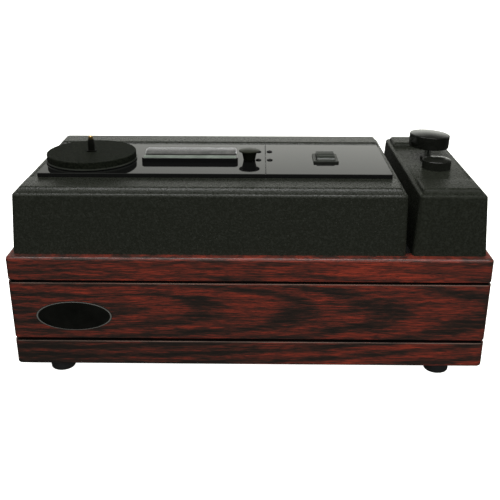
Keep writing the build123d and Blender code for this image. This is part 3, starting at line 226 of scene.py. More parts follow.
def stained_wood(name, along, heart_height, shift):
    """Open-grained wood under a dark red stain and satin varnish; grain runs along X or Y."""
    wood = Finish(name, Coat_Roughness=0.13, Coat_IOR=1.5, Specular_IOR_Level=0.35)
    placed = {"shift": shift, "turn": (0, 0, 0 if along == "x" else math.radians(90))}
    length, depth, height = wood.parts(wood.place(**placed))
    drift = wood.noise((5, 5, 14), 2.0, 0.5, **placed)
    wobble = wood.noise((22, 22, 90), **placed)
    # Growth rings cut at a slant show as arches that point along the board.
    first_ring, ring_pitch = 0.0639, 0.0092
    off_heart = height - heart_height + (drift - 0.5) * 0.022
    heart_depth = 0.060 + 0.105 * length + depth * 0.3
    ring = (off_heart * off_heart + heart_depth * heart_depth).root()
    ring = ring + (drift - 0.5) * 0.010 + (wobble - 0.5) * 0.0052
    wave = ((ring - first_ring) * (2 * math.pi / ring_pitch)).sine()
    late_wood = wood.span(wave, -0.25, 1.0)
    # The pores are dark dashes drawn out along the grain, thick and thin.
    dashes = wood.noise((64, 64, 980), 3.0, 0.65, **placed)
    threads = wood.noise((110, 110, 2100), **placed)
    broad = wood.noise((15, 15, 240), **placed)
    cloud = wood.noise((6, 6, 22), 2.0, 0.5, **placed)
    # The top band is paler in the middle, and the low band darker towards the left.
    top_band = wood.span(height, 0.100, 0.112)
    low_band = wood.span(height, 0.045, 0.041)
    to_left = wood.span(length, 0.15, -0.20)
    tone = 0.5 * dashes + 0.22 * threads + 0.28 * broad
    tone = tone + (cloud - 0.5) * 0.14 - late_wood * (0.105 - 0.06 * top_band)
    tone = tone + top_band * (0.032 - 0.052 * to_left * to_left)
    tone = tone - low_band * to_left * 0.075
    stain = ((0.34, (0.0105, 0.0085, 0.0072)), (0.42, (0.0240, 0.0135, 0.0105)))
    stain += ((0.48, (0.0620, 0.0170, 0.0122)), (0.55, (0.1350, 0.0225, 0.0140)))
    stain += ((0.66, (0.2700, 0.0360, 0.0180)),)
    colour = wood.ramp(tone, stain)
    pore_mask = wood.span(wood.noise((120, 120, 900), 2.0, 0.5, **placed), 0.57, 0.66)
    colour = wood.mix(pore_mask * 0.6, colour, (0.010, 0.0085, 0.008))
    # Painted shade: the grooves are coloured near black, as their recesses lie in shade; a painted
    # highlight runs pale along their lower lips, where the rounded lip catches the light.
    across, deep, up = wood.parts(wood.place())
    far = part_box("front_board")[0]
    inset = (-far.x - across.size()).least(-far.y - deep.size())
    in_groove = wear_and_highlight = 0.0
    for middle_height, half in GROOVES:
        in_groove = wood.span((up - middle_height).size(), half + 0.0003, half) + in_groove
        lip = (up - (middle_height - half - 0.0005)).size()
        wear_and_highlight = wood.span(lip, 0.0007, 0.0003) + wear_and_highlight
    in_groove = in_groove * wood.span(inset, 0.0002, 0.0007)
    wear_and_highlight = wear_and_highlight * wood.span(inset, 0.0008, 0.0004) * wood.span(broad, 0.38, 0.60, 0.35, 1.0)
    # Painted highlight: the lower lips of the grooves are coloured paler where their rounding
    # catches the light.
    colour = wood.mix(wear_and_highlight * 0.75, colour, (0.150, 0.095, 0.075))
    polish = wood.span(threads, 0.36, 0.55, 0.25, 0.70)
    wood.set("Coat Weight", polish * (1 - in_groove))
    # Painted shade: the recesses of the grooves are coloured near black.
    return wood.wear(
        wood.mix(in_groove, colour, (0.0012, 0.0011, 0.001)),
        wood.span(tone, 0.35, 0.65, 0.55, 0.40).most(in_groove),
        wood.bump(0.6 * threads + 0.4 * dashes - pore_mask * 0.4, 0.00016, 0.5),
    )


def plain_board(name):
    """Bare plywood for the boards that the covers and the floor hide."""
    board = Finish(name)
    grain = board.noise((8, 300, 300), 4.0)
    plies = board.ramp(grain, ((0.3, (0.16, 0.09, 0.05)), (0.7, (0.34, 0.23, 0.13))))
    return board.wear(plies, 0.7, board.bump(grain, 0.0002, 0.4))


def grained_cover(name, body, glint, ior):
    """Moulded black plastic with a fine pebble grain."""
    cover = Finish(name, IOR=ior)
    grain = cover.cells(780.0, "SMOOTH_F1")
    fine = cover.noise(1700.0, 2.0)
    clumps = cover.noise(420.0, 2.0, 0.55)
    patch = cover.noise(38.0)
    height = grain * 0.6 + fine * 0.3 + clumps * 0.7
    # Painted glints: the high points of the grain are coloured paler, as if catching the light.
    return cover.wear(
        cover.mix(cover.span(height, 0.70, 1.0), body, glint),
        cover.span(height + patch * 0.2, 0.6, 1.3, 0.24, 0.37),
        cover.bump(height, 0.00042, 0.85),
    )


def polished_acrylic(name, body):
    """Black acrylic sheet with a polished face and the faintest wipe marks."""
    sheet = Finish(name, IOR=1.49)
    wipes = sheet.noise((10, 90, 10), 4.0, 0.65, turn=(0, 0, 0.35))
    dust = sheet.cells(260.0)
    return sheet.wear(
        sheet.mix(sheet.span(dust, 0.05, 0.0), body, (0.035, 0.035, 0.034)),
        sheet.span(wipes, 0.35, 0.7, 0.035, 0.085),
        sheet.bump(wipes, 0.00004, 0.15),
    )


def crumb_mat(name, body, crumb):
    """Coarse bonded rubber crumb."""
    mat = Finish(name, IOR=1.45, Specular_IOR_Level=0.12)
    grain = mat.cells(560.0)
    fine = mat.noise(1500.0, 3.0, 0.65)
    return mat.wear(
        mat.mix(mat.span(grain, 0.1, 0.7), crumb, body),
        mat.span(fine, 0.3, 0.7, 0.62, 0.85),
        mat.bump((1 - grain) * 0.8 + fine * 0.5, 0.0006, 0.9),
    )


def moulded(name, colour, roughness, grain=900.0, depth=0.00006, level=0.5):
    """Moulded plastic or rubber with a faint surface grain."""
    plastic = Finish(name, IOR=1.5, Specular_IOR_Level=level)
    skin = plastic.noise(grain)
    wear_and_highlight = plastic.noise(45.0)
    paler = tuple(min(1.0, part * 1.5 + 0.001) for part in colour)
    return plastic.wear(
        plastic.mix(plastic.span(wear_and_highlight, 0.35, 0.7), colour, paler),
        plastic.span(skin + wear_and_highlight, 0.7, 1.3, roughness * 0.82, roughness * 1.2),
        plastic.bump(skin, depth, 0.6),
    )


def rimmed_enamel(name, rim_width):
    """Black enamel on an oval plate, with a bare metal line near the rim."""
    enamel = Finish(name, IOR=1.5, Specular_IOR_Level=0.4)
    low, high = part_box("badge_plate")
    half_width, half_height = (high.x - low.x) / 2, (high.z - low.z) / 2
    centre = (low + high) / 2
    across, deep, up = enamel.parts(enamel.place(shift=(-centre.x, 0, -centre.z)))
    across, up = across / half_width, up / half_height
    reach = (across * across + up * up).root()
    line_from = 1 - 1.9 * rim_width / half_height
    line_to = 1 - 0.5 * rim_width / half_height
    line = enamel.span(reach, line_from - 0.01, line_from + 0.01)
    line = line * enamel.span(reach, line_to + 0.01, line_to - 0.01)
    dust = enamel.noise(70.0)
    dusted = enamel.span(dust, 0.3, 0.7)
    ground = enamel.mix(dusted, (0.0016, 0.0018, 0.0014), (0.0040, 0.0043, 0.0034))
    return enamel.wear(
        enamel.mix(line, ground, (0.10, 0.10, 0.092)),
        enamel.span(dust, 0.3, 0.7, 0.16, 0.26),
        enamel.bump(line, 0.0001, 0.4),
    )


def turned_metal(name, colour, roughness, ring_pitch, node):
    """Metal with fine lathe rings about the upright axis of a solid."""
    metal = Finish(name, Metallic=1.0)
    centre = middle(node)
    across, deep, up = metal.parts(metal.place(shift=(-centre.x, -centre.y, 0)))
    per_metre = 2 * math.pi / ring_pitch
    rings = ((across * across + deep * deep).root() * per_metre).sine()
    lines = ((up * per_metre).sine() + rings) * 0.25 + 0.5
    smear = metal.noise(240.0)
    darker = tuple(part * 0.72 for part in colour)
    return metal.wear(
        metal.mix(metal.span(smear, 0.3, 0.75), colour, darker),
        metal.span(smear + lines * 0.4, 0.5, 1.1, roughness * 0.7, roughness * 1.3),
        metal.bump(lines, 0.00002, 0.4),
    )


def pressed_metal(name, colour, roughness):
    """Plated or cast sheet metal with soft blotches."""
    metal = Finish(name, Metallic=1.0)
    blotch = metal.noise(120.0, 4.0)
    fine = metal.noise((900, 900, 10800), 2.0, 0.5)
    darker = tuple(part * 0.7 for part in colour)
    return metal.wear(
        metal.mix(metal.span(blotch, 0.3, 0.7), colour, darker),
        metal.span(blotch, 0.3, 0.7, roughness * 0.8, roughness * 1.25),
        metal.bump(fine, 0.00003, 0.4),
    )


def painted_top_lit_rubber(name, side, top):
    """Smooth rubber on the drive roller, with painted light: its flange top is coloured paler as
    if lit from above, and its sides darker as if in shade.
    """
    rubber = Finish(name, IOR=1.5, Specular_IOR_Level=0.12)
    up = rubber.parts(rubber.place())[2]
    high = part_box("drive_roller")[1].z
    mottle = rubber.noise(300.0)
    # Painted light: the top of the flange is coloured paler than the shaded sides below it.
    upper = rubber.span(up + (mottle - 0.5) * 0.0003, high - 0.0014, high - 0.0007)
    return rubber.wear(
        rubber.mix(upper, side, top),
        rubber.span(mottle, 0.3, 0.7, 0.26, 0.38),
        rubber.bump(mottle, 0.00003, 0.4),
    )


def pile_cloth(name, root, tip):
    """Short dense velvet pile."""
    cloth = Finish(name, Sheen_Weight=0.7, Sheen_Roughness=0.35, Specular_IOR_Level=0.15)
    tufts = cloth.cells((1500, 1500, 675))
    clumps = cloth.noise(210.0, 4.0, 0.7)
    lay = cloth.noise((30, 600, 600))
    return cloth.wear(
        cloth.mix(cloth.span(clumps * 0.6 + lay * 0.4, 0.32, 0.68), root, tip),
        cloth.span(clumps, 0.3, 0.7, 0.75, 0.95),
        cloth.bump((1 - tufts) * 0.6 + clumps * 0.8 + lay * 0.4, 0.0005, 0.8),
    )


# ---- modelling
def corner_loop(bm, left, right, front, back, radius, height, steps):
    """A level rectangle of edges with rounded corners."""
    before = set(bm.edges)
    spots = ((left, front), (right, front), (right, back), (left, back))
    corners = [bm.verts.new((x, y, height)) for x, y in spots]
    bm.faces.new(corners)
    rounding = {"offset": radius, "offset_type": "OFFSET", "segments": steps, "profile": 0.5}
    bmesh.ops.bevel(bm, geom=corners, affect="VERTICES", material=-1, **rounding)
    made = [edge for edge in bm.edges if edge not in before]
    faces = list({face for edge in made for face in edge.link_faces})
    bmesh.ops.delete(bm, geom=faces, context="FACES_ONLY")
    return made


def stack(bm, levels, steps=8):
    """Skins a pile of rounded rectangles and closes its two ends.

    Each level is (left, right, front, back, corner radius, height). Two levels never
    share a height, since the skin between them would come out twisted."""
    loops = [corner_loop(bm, *level, steps) for level in levels]
    for lower, upper in zip(loops, loops[1:]):
        bmesh.ops.bridge_loops(bm, edges=lower + upper)
    for loop in (loops[0], loops[-1]):
        bmesh.ops.edgeloop_fill(bm, edges=loop)


def swing(centre, radius, start, end, steps):
    """Points round part of a circle, from one angle to another in degrees."""
    turns = (math.radians(start + (end - start) * step / steps) for step in range(steps + 1))
    return [
        (centre[0] + radius * math.cos(turn), centre[1] + radius * math.sin(turn))
        for turn in turns
    ]


def dome(radius, height, rise, steps):
    """Points of (radius, height) from just inside a shallow dome's edge to its middle."""
    reaches = [1 - step / steps for step in range(1, steps + 1)]
    return [(radius * reach, height - rise * reach * reach) for reach in reaches]


def outward(vert, centre):
    """The level way from an upright axis to a point."""
    return Vector((vert.co.x - centre.x, vert.co.y - centre.y, 0.0))


def wind(bm, geometry, centre, turns, steps, **settings):
    """Spins geometry round an upright axis."""
    axis = {"cent": (centre[0], centre[1], 0.0), "axis": (0, 0, 1)}
    angle = 2 * math.pi * turns
    bmesh.ops.spin(bm, geom=geometry, angle=angle, steps=steps, **axis, **settings)


def lathe(bm, profile, centre, steps, merge=True):
    """Spins a profile of (radius, height) points round an upright axis."""
    verts = [bm.verts.new((centre[0] + r, centre[1], z)) for r, z in profile]
    edges = [bm.edges.new(pair) for pair in zip(verts, verts[1:])]
    wind(bm, verts + edges, centre, 1, steps, use_merge=True)
    if merge:
        bmesh.ops.remove_doubles(bm, verts=bm.verts, dist=MERGE)


def extrude_stations(bm, profile, stations, anchor):
    """Draws a (y, z) profile along X; each station is (x, y scale, z scale) about an anchor."""
    last = stations[0]
    verts = [bm.verts.new((last[0], y, z)) for y, z in profile]
    first = face = bm.faces.new(verts)
    space = Matrix.Translation((0, -anchor[0], -anchor[1]))
    bmesh.ops.scale(bm, verts=verts, vec=(1, *last[1:]), space=space)
    for station in stations[1:]:
        made = bmesh.ops.extrude_face_region(bm, geom=[face])["geom"]
        if face is not first:
            bmesh.ops.delete(bm, geom=[face], context="FACES_ONLY")
        face = [item for item in made if isinstance(item, bmesh.types.BMFace)][0]
        moved = list(face.verts)
        grown = (1, station[1] / last[1], station[2] / last[2])
        bmesh.ops.translate(bm, verts=moved, vec=(station[0] - last[0], 0, 0))
        bmesh.ops.scale(bm, verts=moved, vec=grown, space=space)
        last = station


def mesh_of(bm, name, material):
    mesh = bpy.data.meshes.new(name)
    bm.to_mesh(mesh)
    bm.free()
    mesh.materials.append(material)
    return mesh


def put(name, data):
    """Adds an object to the scene."""
    made = bpy.data.objects.new(name, data)
    bpy.context.scene.collection.objects.link(made)
    return made


def dress(material, *nodes):
    """Gives solids of the frame a finish."""
    for name in nodes:
        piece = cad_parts[name]
        piece.data.materials.clear()
        piece.data.materials.append(material)


def make_piece(bm, name, body, material, stands_for, sharp=35.0):
    """Turns a finished bmesh into a piece that rides on a body, in place of solids."""
    bmesh.ops.recalc_face_normals(bm, faces=bm.faces)
    piece = put(name, mesh_of(bm, name, material))
    for polygon in piece.data.polygons:
        polygon.use_smooth = True
    piece.data.set_sharp_from_angle(angle=math.radians(sharp))
    dress(material, *stands_for)
    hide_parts(*stands_for)
    if body:
        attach(piece, body)
    return piece


def grey(level):
    return (level, level, level)


def warm(level):
    """The faintly green white of the tent round the machine."""
    return (level * 0.99, level, level * 0.93)


def middle(node):
    low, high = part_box(node)
    return (low + high) / 2


# ---- sizes and colours
class CabinetSettings(bpy.types.PropertyGroup):
    heart_height: FloatProperty(
        name="Heart height", default=0.072, unit="LENGTH",
        description="Height of the middle of the grain's arches on the front board",
    )
    badge_rim: FloatProperty(
        name="Badge rim", default=0.0004, unit="LENGTH",
        description="Width of the pale line round the bare oval plate",
    )


class CoverSettings(bpy.types.PropertyGroup):
    body_colour: FloatVectorProperty(
        name="Cover colour", subtype="COLOR", default=(0.0108, 0.0120, 0.0088),
        description="Colour of the grained covers",
    )
    # Painted glints: a paler colour on the grain's high points stands for light caught there.
    glint_colour: FloatVectorProperty(
        name="Grain colour", subtype="COLOR", default=(0.0190, 0.0210, 0.0165),
        description="Colour of the high points of the grain",
    )
    wall: FloatProperty(
        name="Wall", default=0.0030, unit="LENGTH",
        description="Thickness of the moulded wall",
    )
    corner_radius: FloatProperty(
        name="Corner radius", default=0.0045, unit="LENGTH",
        description="Radius of the upright corners",
    )
    edge_round: FloatProperty(
        name="Edge rounding", default=0.0030, unit="LENGTH",
        description="Rounding of the edge round the top",
    )
    band_round: FloatProperty(
        name="Band rounding", default=0.0070, unit="LENGTH",
        description="Radius of the raised bands' soft edges",
    )


class DeckSettings(bpy.types.PropertyGroup):
    acrylic_colour: FloatVectorProperty(
        name="Acrylic colour", subtype="COLOR", default=(0.0035, 0.0036, 0.0036),
        description="Colour of the polished deck plates",
    )


class PumpSettings(bpy.types.PropertyGroup):
    knob_radius: FloatProperty(
        name="Knob radius", default=0.0205, unit="LENGTH",
        description="Radius of the pump knob",
    )
    knob_thickness: FloatProperty(
        name="Knob thickness", default=0.01305, unit="LENGTH",
        description="Height of the pump knob's rim",
    )
    knob_lean: FloatProperty(
        name="Knob lean", default=math.radians(3.0), subtype="ANGLE",
        description="How far the knob leans to the right on its rod",
    )


class StageSettings(bpy.types.PropertyGroup):
    floor_radius: FloatProperty(
        name="Floor radius", default=9.0, unit="LENGTH",
        description="Radius of the pale floor",
    )
    focal_length: FloatProperty(
        name="Focal length", default=54.94,
        description="Camera lens, in millimetres on a 36 mm sensor",
    )
    ceiling_light: FloatProperty(
        name="Ceiling light", default=10.5,
        description="Power of the soft light above the machine, in watts",
    )
    top_light: FloatProperty(
        name="Top light", default=8.0,
        description="Power of the bounced light on the upward faces, in watts",
    )
    front_light: FloatProperty(
        name="Front light", default=46.0,
        description="Power of the soft light in front of the machine, in watts",
    )


# ---- steps
class MACHINE_OT_finish_cabinet(bpy.types.Operator):
    """Stain the boards of the cabinet and finish its feet and oval plate"""

    bl_idname = "machine.finish_cabinet"
    bl_label = "Finish Cabinet"

    def execute(self, context):
        settings = context.scene.cabinet_settings
        # Each board shows another length of the grain, with its arches higher or lower.
        heart = settings.heart_height
        dress(stained_wood("stained_front", "x", heart, (0, 0, 0)), "front_board")
        dress(stained_wood("stained_rear", "x", heart + 0.01, (0.7, 0, 0)), "rear_board")
        side = stained_wood("stained_sides", "y", heart - 0.01, (0.3, 0, 0))
        dress(side, "left_board", "right_board")
        dress(plain_board("plain_board"), "bottom_panel")
        dress(moulded("black_board", grey(0.006), 0.7, level=0.2), "top_board")
        dress(moulded("foot_rubber", grey(0.010), 0.6), "rubber_feet", "motor_pads")
        dress(pressed_metal("zinc_screws", grey(0.5), 0.35), "foot_screws")
        dress(rimmed_enamel("badge_enamel", settings.badge_rim), "badge_plate")
        return {"FINISHED"}


class MACHINE_OT_make_covers(bpy.types.Operator):
    """Mould the two grained covers with a raised band along the front and the back"""

    bl_idname = "machine.make_covers"
    bl_label = "Make Covers"

    def execute(self, context):
        settings = context.scene.cover_settings
        colours = tuple(settings.body_colour), tuple(settings.glint_colour)
        for node, name, finish, ior, draft_left, draft_right in (
            ("main_cover", "moulded_cover", "grained_cover", 1.43, 0.0036, 0.0013),
            ("reservoir_cover", "moulded_tower", "grained_tower", 1.17, 0.0035, 0.0036),
        ):
            material = grained_cover(finish, *colours, ior)
            self.mould(settings, node, name, material, draft_left, draft_right)
        return {"FINISHED"}

    def mould(self, settings, node, name, material, draft_left, draft_right):
        """A tapered shell, open below; each draft is how far an end leans in at the top."""
        low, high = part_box(node)
        radius, wall, edge = settings.corner_radius, settings.wall, settings.edge_round
        band_rise, end_draft, least_corner = 0.00375, 0.0037, 0.0008
        flat = high.z - band_rise
        top = (low.x + draft_left, high.x - draft_right, low.y + end_draft, high.y - end_draft)
        foot = (low.x, high.x, low.y, high.y)

        def level(sides, inset, height):
            left, right, front, back = sides
            corner = max(radius - inset, least_corner)
            return (left + inset, right - inset, front + inset, back - inset, corner, height)

        hair = 0.00003
        levels = [level(top, wall, flat - wall), level(foot, wall, low.z)]
        levels.append(level(foot, 0, low.z + hair))
        levels += [level(top, -x, z) for x, z in swing((-edge, flat - edge), edge, 0, 90, 8)]
        # A shallow gutter runs inside the rounded edge, at the foot of the bands.
        gutter, gutter_width, run_out = 0.0006, 0.0030, 0.0008
        deepest = edge + gutter_width * 0.45
        levels.append(level(top, deepest, flat - gutter))
        levels.append(level(top, edge + gutter_width, flat - gutter * 0.2))
        levels.append(level(top, edge + gutter_width + 0.0020, flat))
        bm = bmesh.new()
        stack(bm, levels)
        # It is filled in again along the left and right ends.
        for vert in bm.verts:
            depth = flat - vert.co.z
            if 0.0 < depth <= gutter + hair:
                in_front = top[2] + deepest
                past_end = min(vert.co.y - in_front, -in_front - vert.co.y) / run_out
                vert.co.z += depth * min(max(past_end, 0.0), 1.0)
        # Each band is softly rounded in front and at its ends. The front band drops
        # straight down behind, where the deck plate stands.
        side, reach, sunk = 0.0036, settings.band_round, 0.0009
        steepest = math.degrees(math.acos(1 - band_rise / reach))
        crest = (-reach, flat - reach + band_rise)
        turned = swing(crest, reach, 90 - steepest, 90, 9)
        first = turned[0][0]
        for front, back, behind in ((-0.0994, -0.0648, 0.12), (0.0664, 0.0994, 0.25)):

            def band_level(inset, height):
                ends = side + inset * 0.35
                corner = 0.0012 + inset * 0.2
                sides = (top[0] + ends, top[1] - ends, front + inset, back - inset * behind)
                return (*sides, corner, height)

            levels = [band_level(0.0, flat - sunk)]
            levels += [band_level(0.0001 + first - x, z) for x, z in turned]
            levels.append(band_level(0.0016 + reach + first, high.z + hair))
            stack(bm, levels)
        make_piece(bm, name, "cabinet", material, [node], sharp=50.0)


class MACHINE_OT_finish_deck(bpy.types.Operator):
    """Polish the deck plates and finish their gasket and screws"""

    bl_idname = "machine.finish_deck"
    bl_label = "Finish Deck"

    def execute(self, context):
        settings = context.scene.deck_settings
        acrylic = polished_acrylic("polished_acrylic", tuple(settings.acrylic_colour))
        dress(acrylic, "deck_plate", "switch_plate")
        dress(moulded("gasket_foam", grey(0.012), 0.8), "deck_gasket")
        self.make_screws(moulded("black_screws", grey(0.003), 0.35, level=0.25))
        return {"FINISHED"}

    def make_screws(self, black):
        """Button heads with a hexagon socket."""
        low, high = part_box("deck_screws")
        deck_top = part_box("deck_plate")[1].z
        head, shank, rim = 0.0029, 0.0015, 0.0004
        socket_radius, socket_depth = 0.00115, 0.0010
        rise = high.z - deck_top - rim
        turns = [math.radians(12 * step) for step in range(6)]
        profile = [(0.0, low.z), (shank, low.z), (shank, deck_top), (head, deck_top)]
        profile += [
            (head * math.cos(turn), deck_top + rim + rise * math.sin(turn)) for turn in turns
        ]
        rim_height = profile[-1][1]
        bm = bmesh.new()
        for x in (low.x + head, high.x - head):
            for y in (low.y + head, high.y - head):
                lathe(bm, profile, (x, y), 36, merge=False)
                top_loop = [
                    edge
                    for edge in bm.edges
                    if edge.is_boundary
                    and all(abs(vert.co.z - rim_height) < MERGE / 2 for vert in edge.verts)
                ]
                place = Matrix.Translation((x, y, rim_height))
                socket = bmesh.ops.create_circle(
                    bm, segments=6, radius=socket_radius, matrix=place
                )["verts"]
                hexagon = list({edge for vert in socket for edge in vert.link_edges})
                bmesh.ops.bridge_loops(bm, edges=top_loop + hexagon)
                made = bmesh.ops.extrude_edge_only(bm, edges=hexagon)["geom"]
                walls = [item for item in made if isinstance(item, bmesh.types.BMVert)]
                bmesh.ops.translate(bm, verts=walls, vec=(0, 0, -socket_depth))
                floor = [
                    item
                    for item in made
                    if isinstance(item, bmesh.types.BMEdge)
                    and all(vert in walls for vert in item.verts)
                ]
                bmesh.ops.edgeloop_fill(bm, edges=floor)
        bmesh.ops.remove_doubles(bm, verts=bm.verts, dist=MERGE)
        make_piece(bm, "button_screws", "cabinet", black, ["deck_screws"])


class MACHINE_OT_make_platter(bpy.types.Operator):
    """Model the platter's crumb mat and finish the spindle"""

    bl_idname = "machine.make_platter"
    bl_label = "Make Platter"

    def execute(self, context):
        mat = crumb_mat("crumb_mat", (0.0027, 0.0034, 0.0021), (0.0098, 0.0116, 0.0076))
        self.cut_mat(mat)
        dress(moulded("carrier_plastic", (0.020, 0.022, 0.018), 0.3), "platter")
        brass = turned_metal("brass", (0.80, 0.56, 0.25), 0.22, 0.0004, "spindle")
        dress(brass, "spindle")
        sleeve = moulded("sleeve_plastic", (0.0020, 0.0022, 0.0016), 0.55, level=0.1)
        dress(sleeve, "spindle_sleeve")
        dress(pressed_metal("bronze_bush", (0.5, 0.33, 0.18), 0.45), "platter_bearing")
        dress(pressed_metal("spring_steel", grey(0.4), 0.35), "retaining_clip")
        return {"FINISHED"}

    def cut_mat(self, mat):
        """A thick disc of bonded crumb, a little uneven along its rim."""
        low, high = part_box("platter_mat")
        centre = (low + high) / 2
        hole = (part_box("spindle")[1].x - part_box("spindle")[0].x) / 2
        rim = (high.x - low.x) / 2 - 0.0002
        top = high.z - 0.0001
        soft = 0.0009
        flat, shoulder = rim - soft - hole, top - soft
        profile = [(hole, low.z)]
        profile += [(hole + flat * step / 36, top) for step in range(37)]
        profile += swing((rim - soft, shoulder), soft, 90, 0, 4)[1:]
        profile += [(rim, shoulder - (shoulder - low.z) * step / 6) for step in range(1, 7)]
        profile += [(hole + 0.002, low.z), (hole, low.z)]
        bm = bmesh.new()
        lathe(bm, profile, centre, 220)
        coarse, fine, pitting, raggedness = 620.0, 1500.0, 0.00010, 0.00035
        for vert in bm.verts:
            lump = abs(noise.noise(vert.co * coarse) + 0.5 * noise.noise(vert.co * fine))
            if vert.co.z > low.z + 0.0003:
                vert.co.z -= pitting * lump
            out = outward(vert, centre)
            if out.length > rim - 0.001:
                vert.co -= out.normalized() * raggedness * lump
        make_piece(bm, "crumb_disc", "platter", mat, ["platter_mat"], sharp=50.0)


class MACHINE_OT_make_suction_bar(bpy.types.Operator):
    """Finish the suction bar and its two lips"""

    bl_idname = "machine.make_suction_bar"
    bl_label = "Make Suction Bar"

    def execute(self, context):
        settings = context.scene.deck_settings
        bar = polished_acrylic("bar_acrylic", tuple(settings.acrylic_colour))
        dress(bar, "vacuum_bar")
        # The strip's pale grey-green colour is partly its own and partly a painted highlight of
        # the bright wall mirrored along its crown.
        strip = moulded("front_strip", (0.104, 0.121, 0.103), 0.22, depth=0.00003)
        pile = pile_cloth("rear_pile", (0.045, 0.046, 0.043), (0.100, 0.099, 0.094))
        self.lay_front_strip(strip)
        self.roll_pile(pile)
        return {"FINISHED"}

    def lay_front_strip(self, strip):
        """A low hard strip that guides the record over the slot."""
        low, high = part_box("front_lip")
        back, top, soft = high.y, low.z + 0.0011, 0.0004
        profile = [(low.y, low.z), (back, low.z), (back, top - soft)]
        profile += swing((back - soft, top - soft), soft, 0, 90, 4)[1:]
        profile += [(back - 0.0018, top - 0.00005), (low.y, low.z + 0.0003)]
        ends = ((0.0, 0.86, 0.55), (0.0006, 1.0, 0.92), (0.0014, 1.0, 1.0))
        stations = [(low.x + in_by, wide, tall) for in_by, wide, tall in ends]
        stations += [(high.x - in_by, wide, tall) for in_by, wide, tall in reversed(ends)]
        bm = bmesh.new()
        extrude_stations(bm, profile, stations, (back, low.z))
        make_piece(bm, "front_strip", "cabinet", strip, ["front_lip"])

    def roll_pile(self, pile):
        """A rolled strip of short pile, full in the middle and closed round its ends."""
        low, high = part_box("rear_lip")
        length, width, height = high - low
        undercut, end_length, thinnest = 0.0012, 0.0026, 0.06
        front = low.y + undercut
        profile = [(high.y, low.z), (front, low.z), (front, low.z + 0.0009)]
        for step in range(24):
            reach = step / 24
            rise = 1 - abs(2 * reach - 1) ** 2.7
            lift = undercut + (height - undercut) * rise ** 0.62
            profile.append((low.y + width * reach, low.z + lift))
        ends = []
        for step in range(9):
            turn = math.radians(90 * step / 8)
            grown = max(math.sin(turn), thinnest)
            ends.append((low.x + end_length * (1 - math.cos(turn)), grown, grown ** 0.6))
        stations = ends + [(low.x + length * step / 60, 1.0, 1.0) for step in range(4, 57)]
        stations += [(low.x + high.x - x, wide, tall) for x, wide, tall in reversed(ends)]
        bm = bmesh.new()
        extrude_stations(bm, profile, stations, ((low.y + high.y) / 2, low.z))
        coarse, fine, unevenness = 190.0, 700.0, 0.00016
        for vert in bm.verts:
            if vert.co.z > low.z + 0.0002:
                lump = noise.noise(vert.co * fine) + 0.7 * noise.noise(vert.co * coarse)
                vert.co.z -= unevenness * abs(lump)
        make_piece(bm, "rolled_pile", "cabinet", pile, ["rear_lip"], sharp=60.0)


class MACHINE_OT_make_roller(bpy.types.Operator):
    """Finish the drive roller and its shaft"""

    bl_idname = "machine.make_roller"
    bl_label = "Make Drive Roller"

    def execute(self, context):
        rubber = painted_top_lit_rubber("roller_rubber", (0.0030, 0.0036, 0.0022), (0.0135, 0.0150, 0.0098))
        self.turn_roller(rubber)
        steel = turned_metal("shaft_steel", grey(0.6), 0.25, 0.0005, "motor_shaft")
        dress(steel, "motor_shaft")
        return {"FINISHED"}

    def turn_roller(self, rubber):
        """A waisted roller with a thin ridge and a domed flange, bored for its shaft."""
        low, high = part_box("drive_roller")
        shaft_low, shaft_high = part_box("motor_shaft")
        bore, flange = (shaft_high.x - shaft_low.x) / 2, (high.x - low.x) / 2
        foot, rise, rim, soft = low.z, 0.0009, 0.0010, 0.0003
        waist, flare, ridge_radius, ridge = 0.0060, 0.0016, 0.0080, foot + 0.0074
        under = high.z - rise - rim
        profile = [(0.0, shaft_high.z), (bore, shaft_high.z), (bore, foot), (waist - soft, foot)]
        for step in range(9):
            height = foot + soft + (ridge - foot - soft) * step / 8
            profile.append((waist + flare * (step / 8) ** 1.3, height))
        profile += [(ridge_radius, ridge + 0.0001), (ridge_radius, ridge + 0.0004)]
        profile += [(ridge_radius - soft, ridge + 0.0006)]
        profile += [(flange - soft, under), (flange, under + 0.0002), (flange, under + 0.0008)]
        profile += dome(flange - 0.0002, high.z, rise, 14)
        bm = bmesh.new()
        lathe(bm, profile, (low + high) / 2, 96)
        make_piece(bm, "turned_roller", "roller", rubber, ["drive_roller"], sharp=40.0)


class MACHINE_OT_make_switch(bpy.types.Operator):
    """Finish the rocker switch"""

    bl_idname = "machine.make_switch"
    bl_label = "Make Switch"

    def execute(self, context):
        dress(moulded("switch_bezel", (0.010, 0.011, 0.009), 0.34, level=0.25), "switch_bezel")
        plastic = moulded("switch_rocker", (0.0105, 0.0125, 0.0098), 0.30)
        self.shape_rocker(plastic)
        return {"FINISHED"}

    def shape_rocker(self, plastic):
        """A rocker that is nearly flat to its crease, then rounds down to its front end."""
        low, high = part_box("switch_bezel")
        centre = (low + high) / 2
        pivot = (centre.y, high.z - 0.0060)
        half, reach, soft = 0.0090, 0.01336, 0.0004
        top = ((-11.80, 6.20), (-11.00, 7.10), (-9.80, 7.95), (-8.20, 8.65), (-6.30, 9.00))
        top += ((-4.50, 9.22), (-4.10, 9.16), (-3.80, 9.24), (2.50, 9.60), (9.00, 9.86))
        profile = swing(pivot, reach, 212.0, 155.0, 6)
        profile += [(pivot[0] + y * MM, pivot[1] + z * MM) for y, z in top]
        profile += swing(pivot, reach, 45.0, -12.0, 6)
        spots = ((-half, 0.975), (soft - half, 1.0), (0.0, 1.0), (half - soft, 1.0), (half, 0.975))
        stations = [(centre.x + x, scale, scale) for x, scale in spots]
        bm = bmesh.new()
        extrude_stations(bm, profile, stations, pivot)
        make_piece(bm, "shaped_rocker", "rocker", plastic, ["switch_rocker"], sharp=30.0)


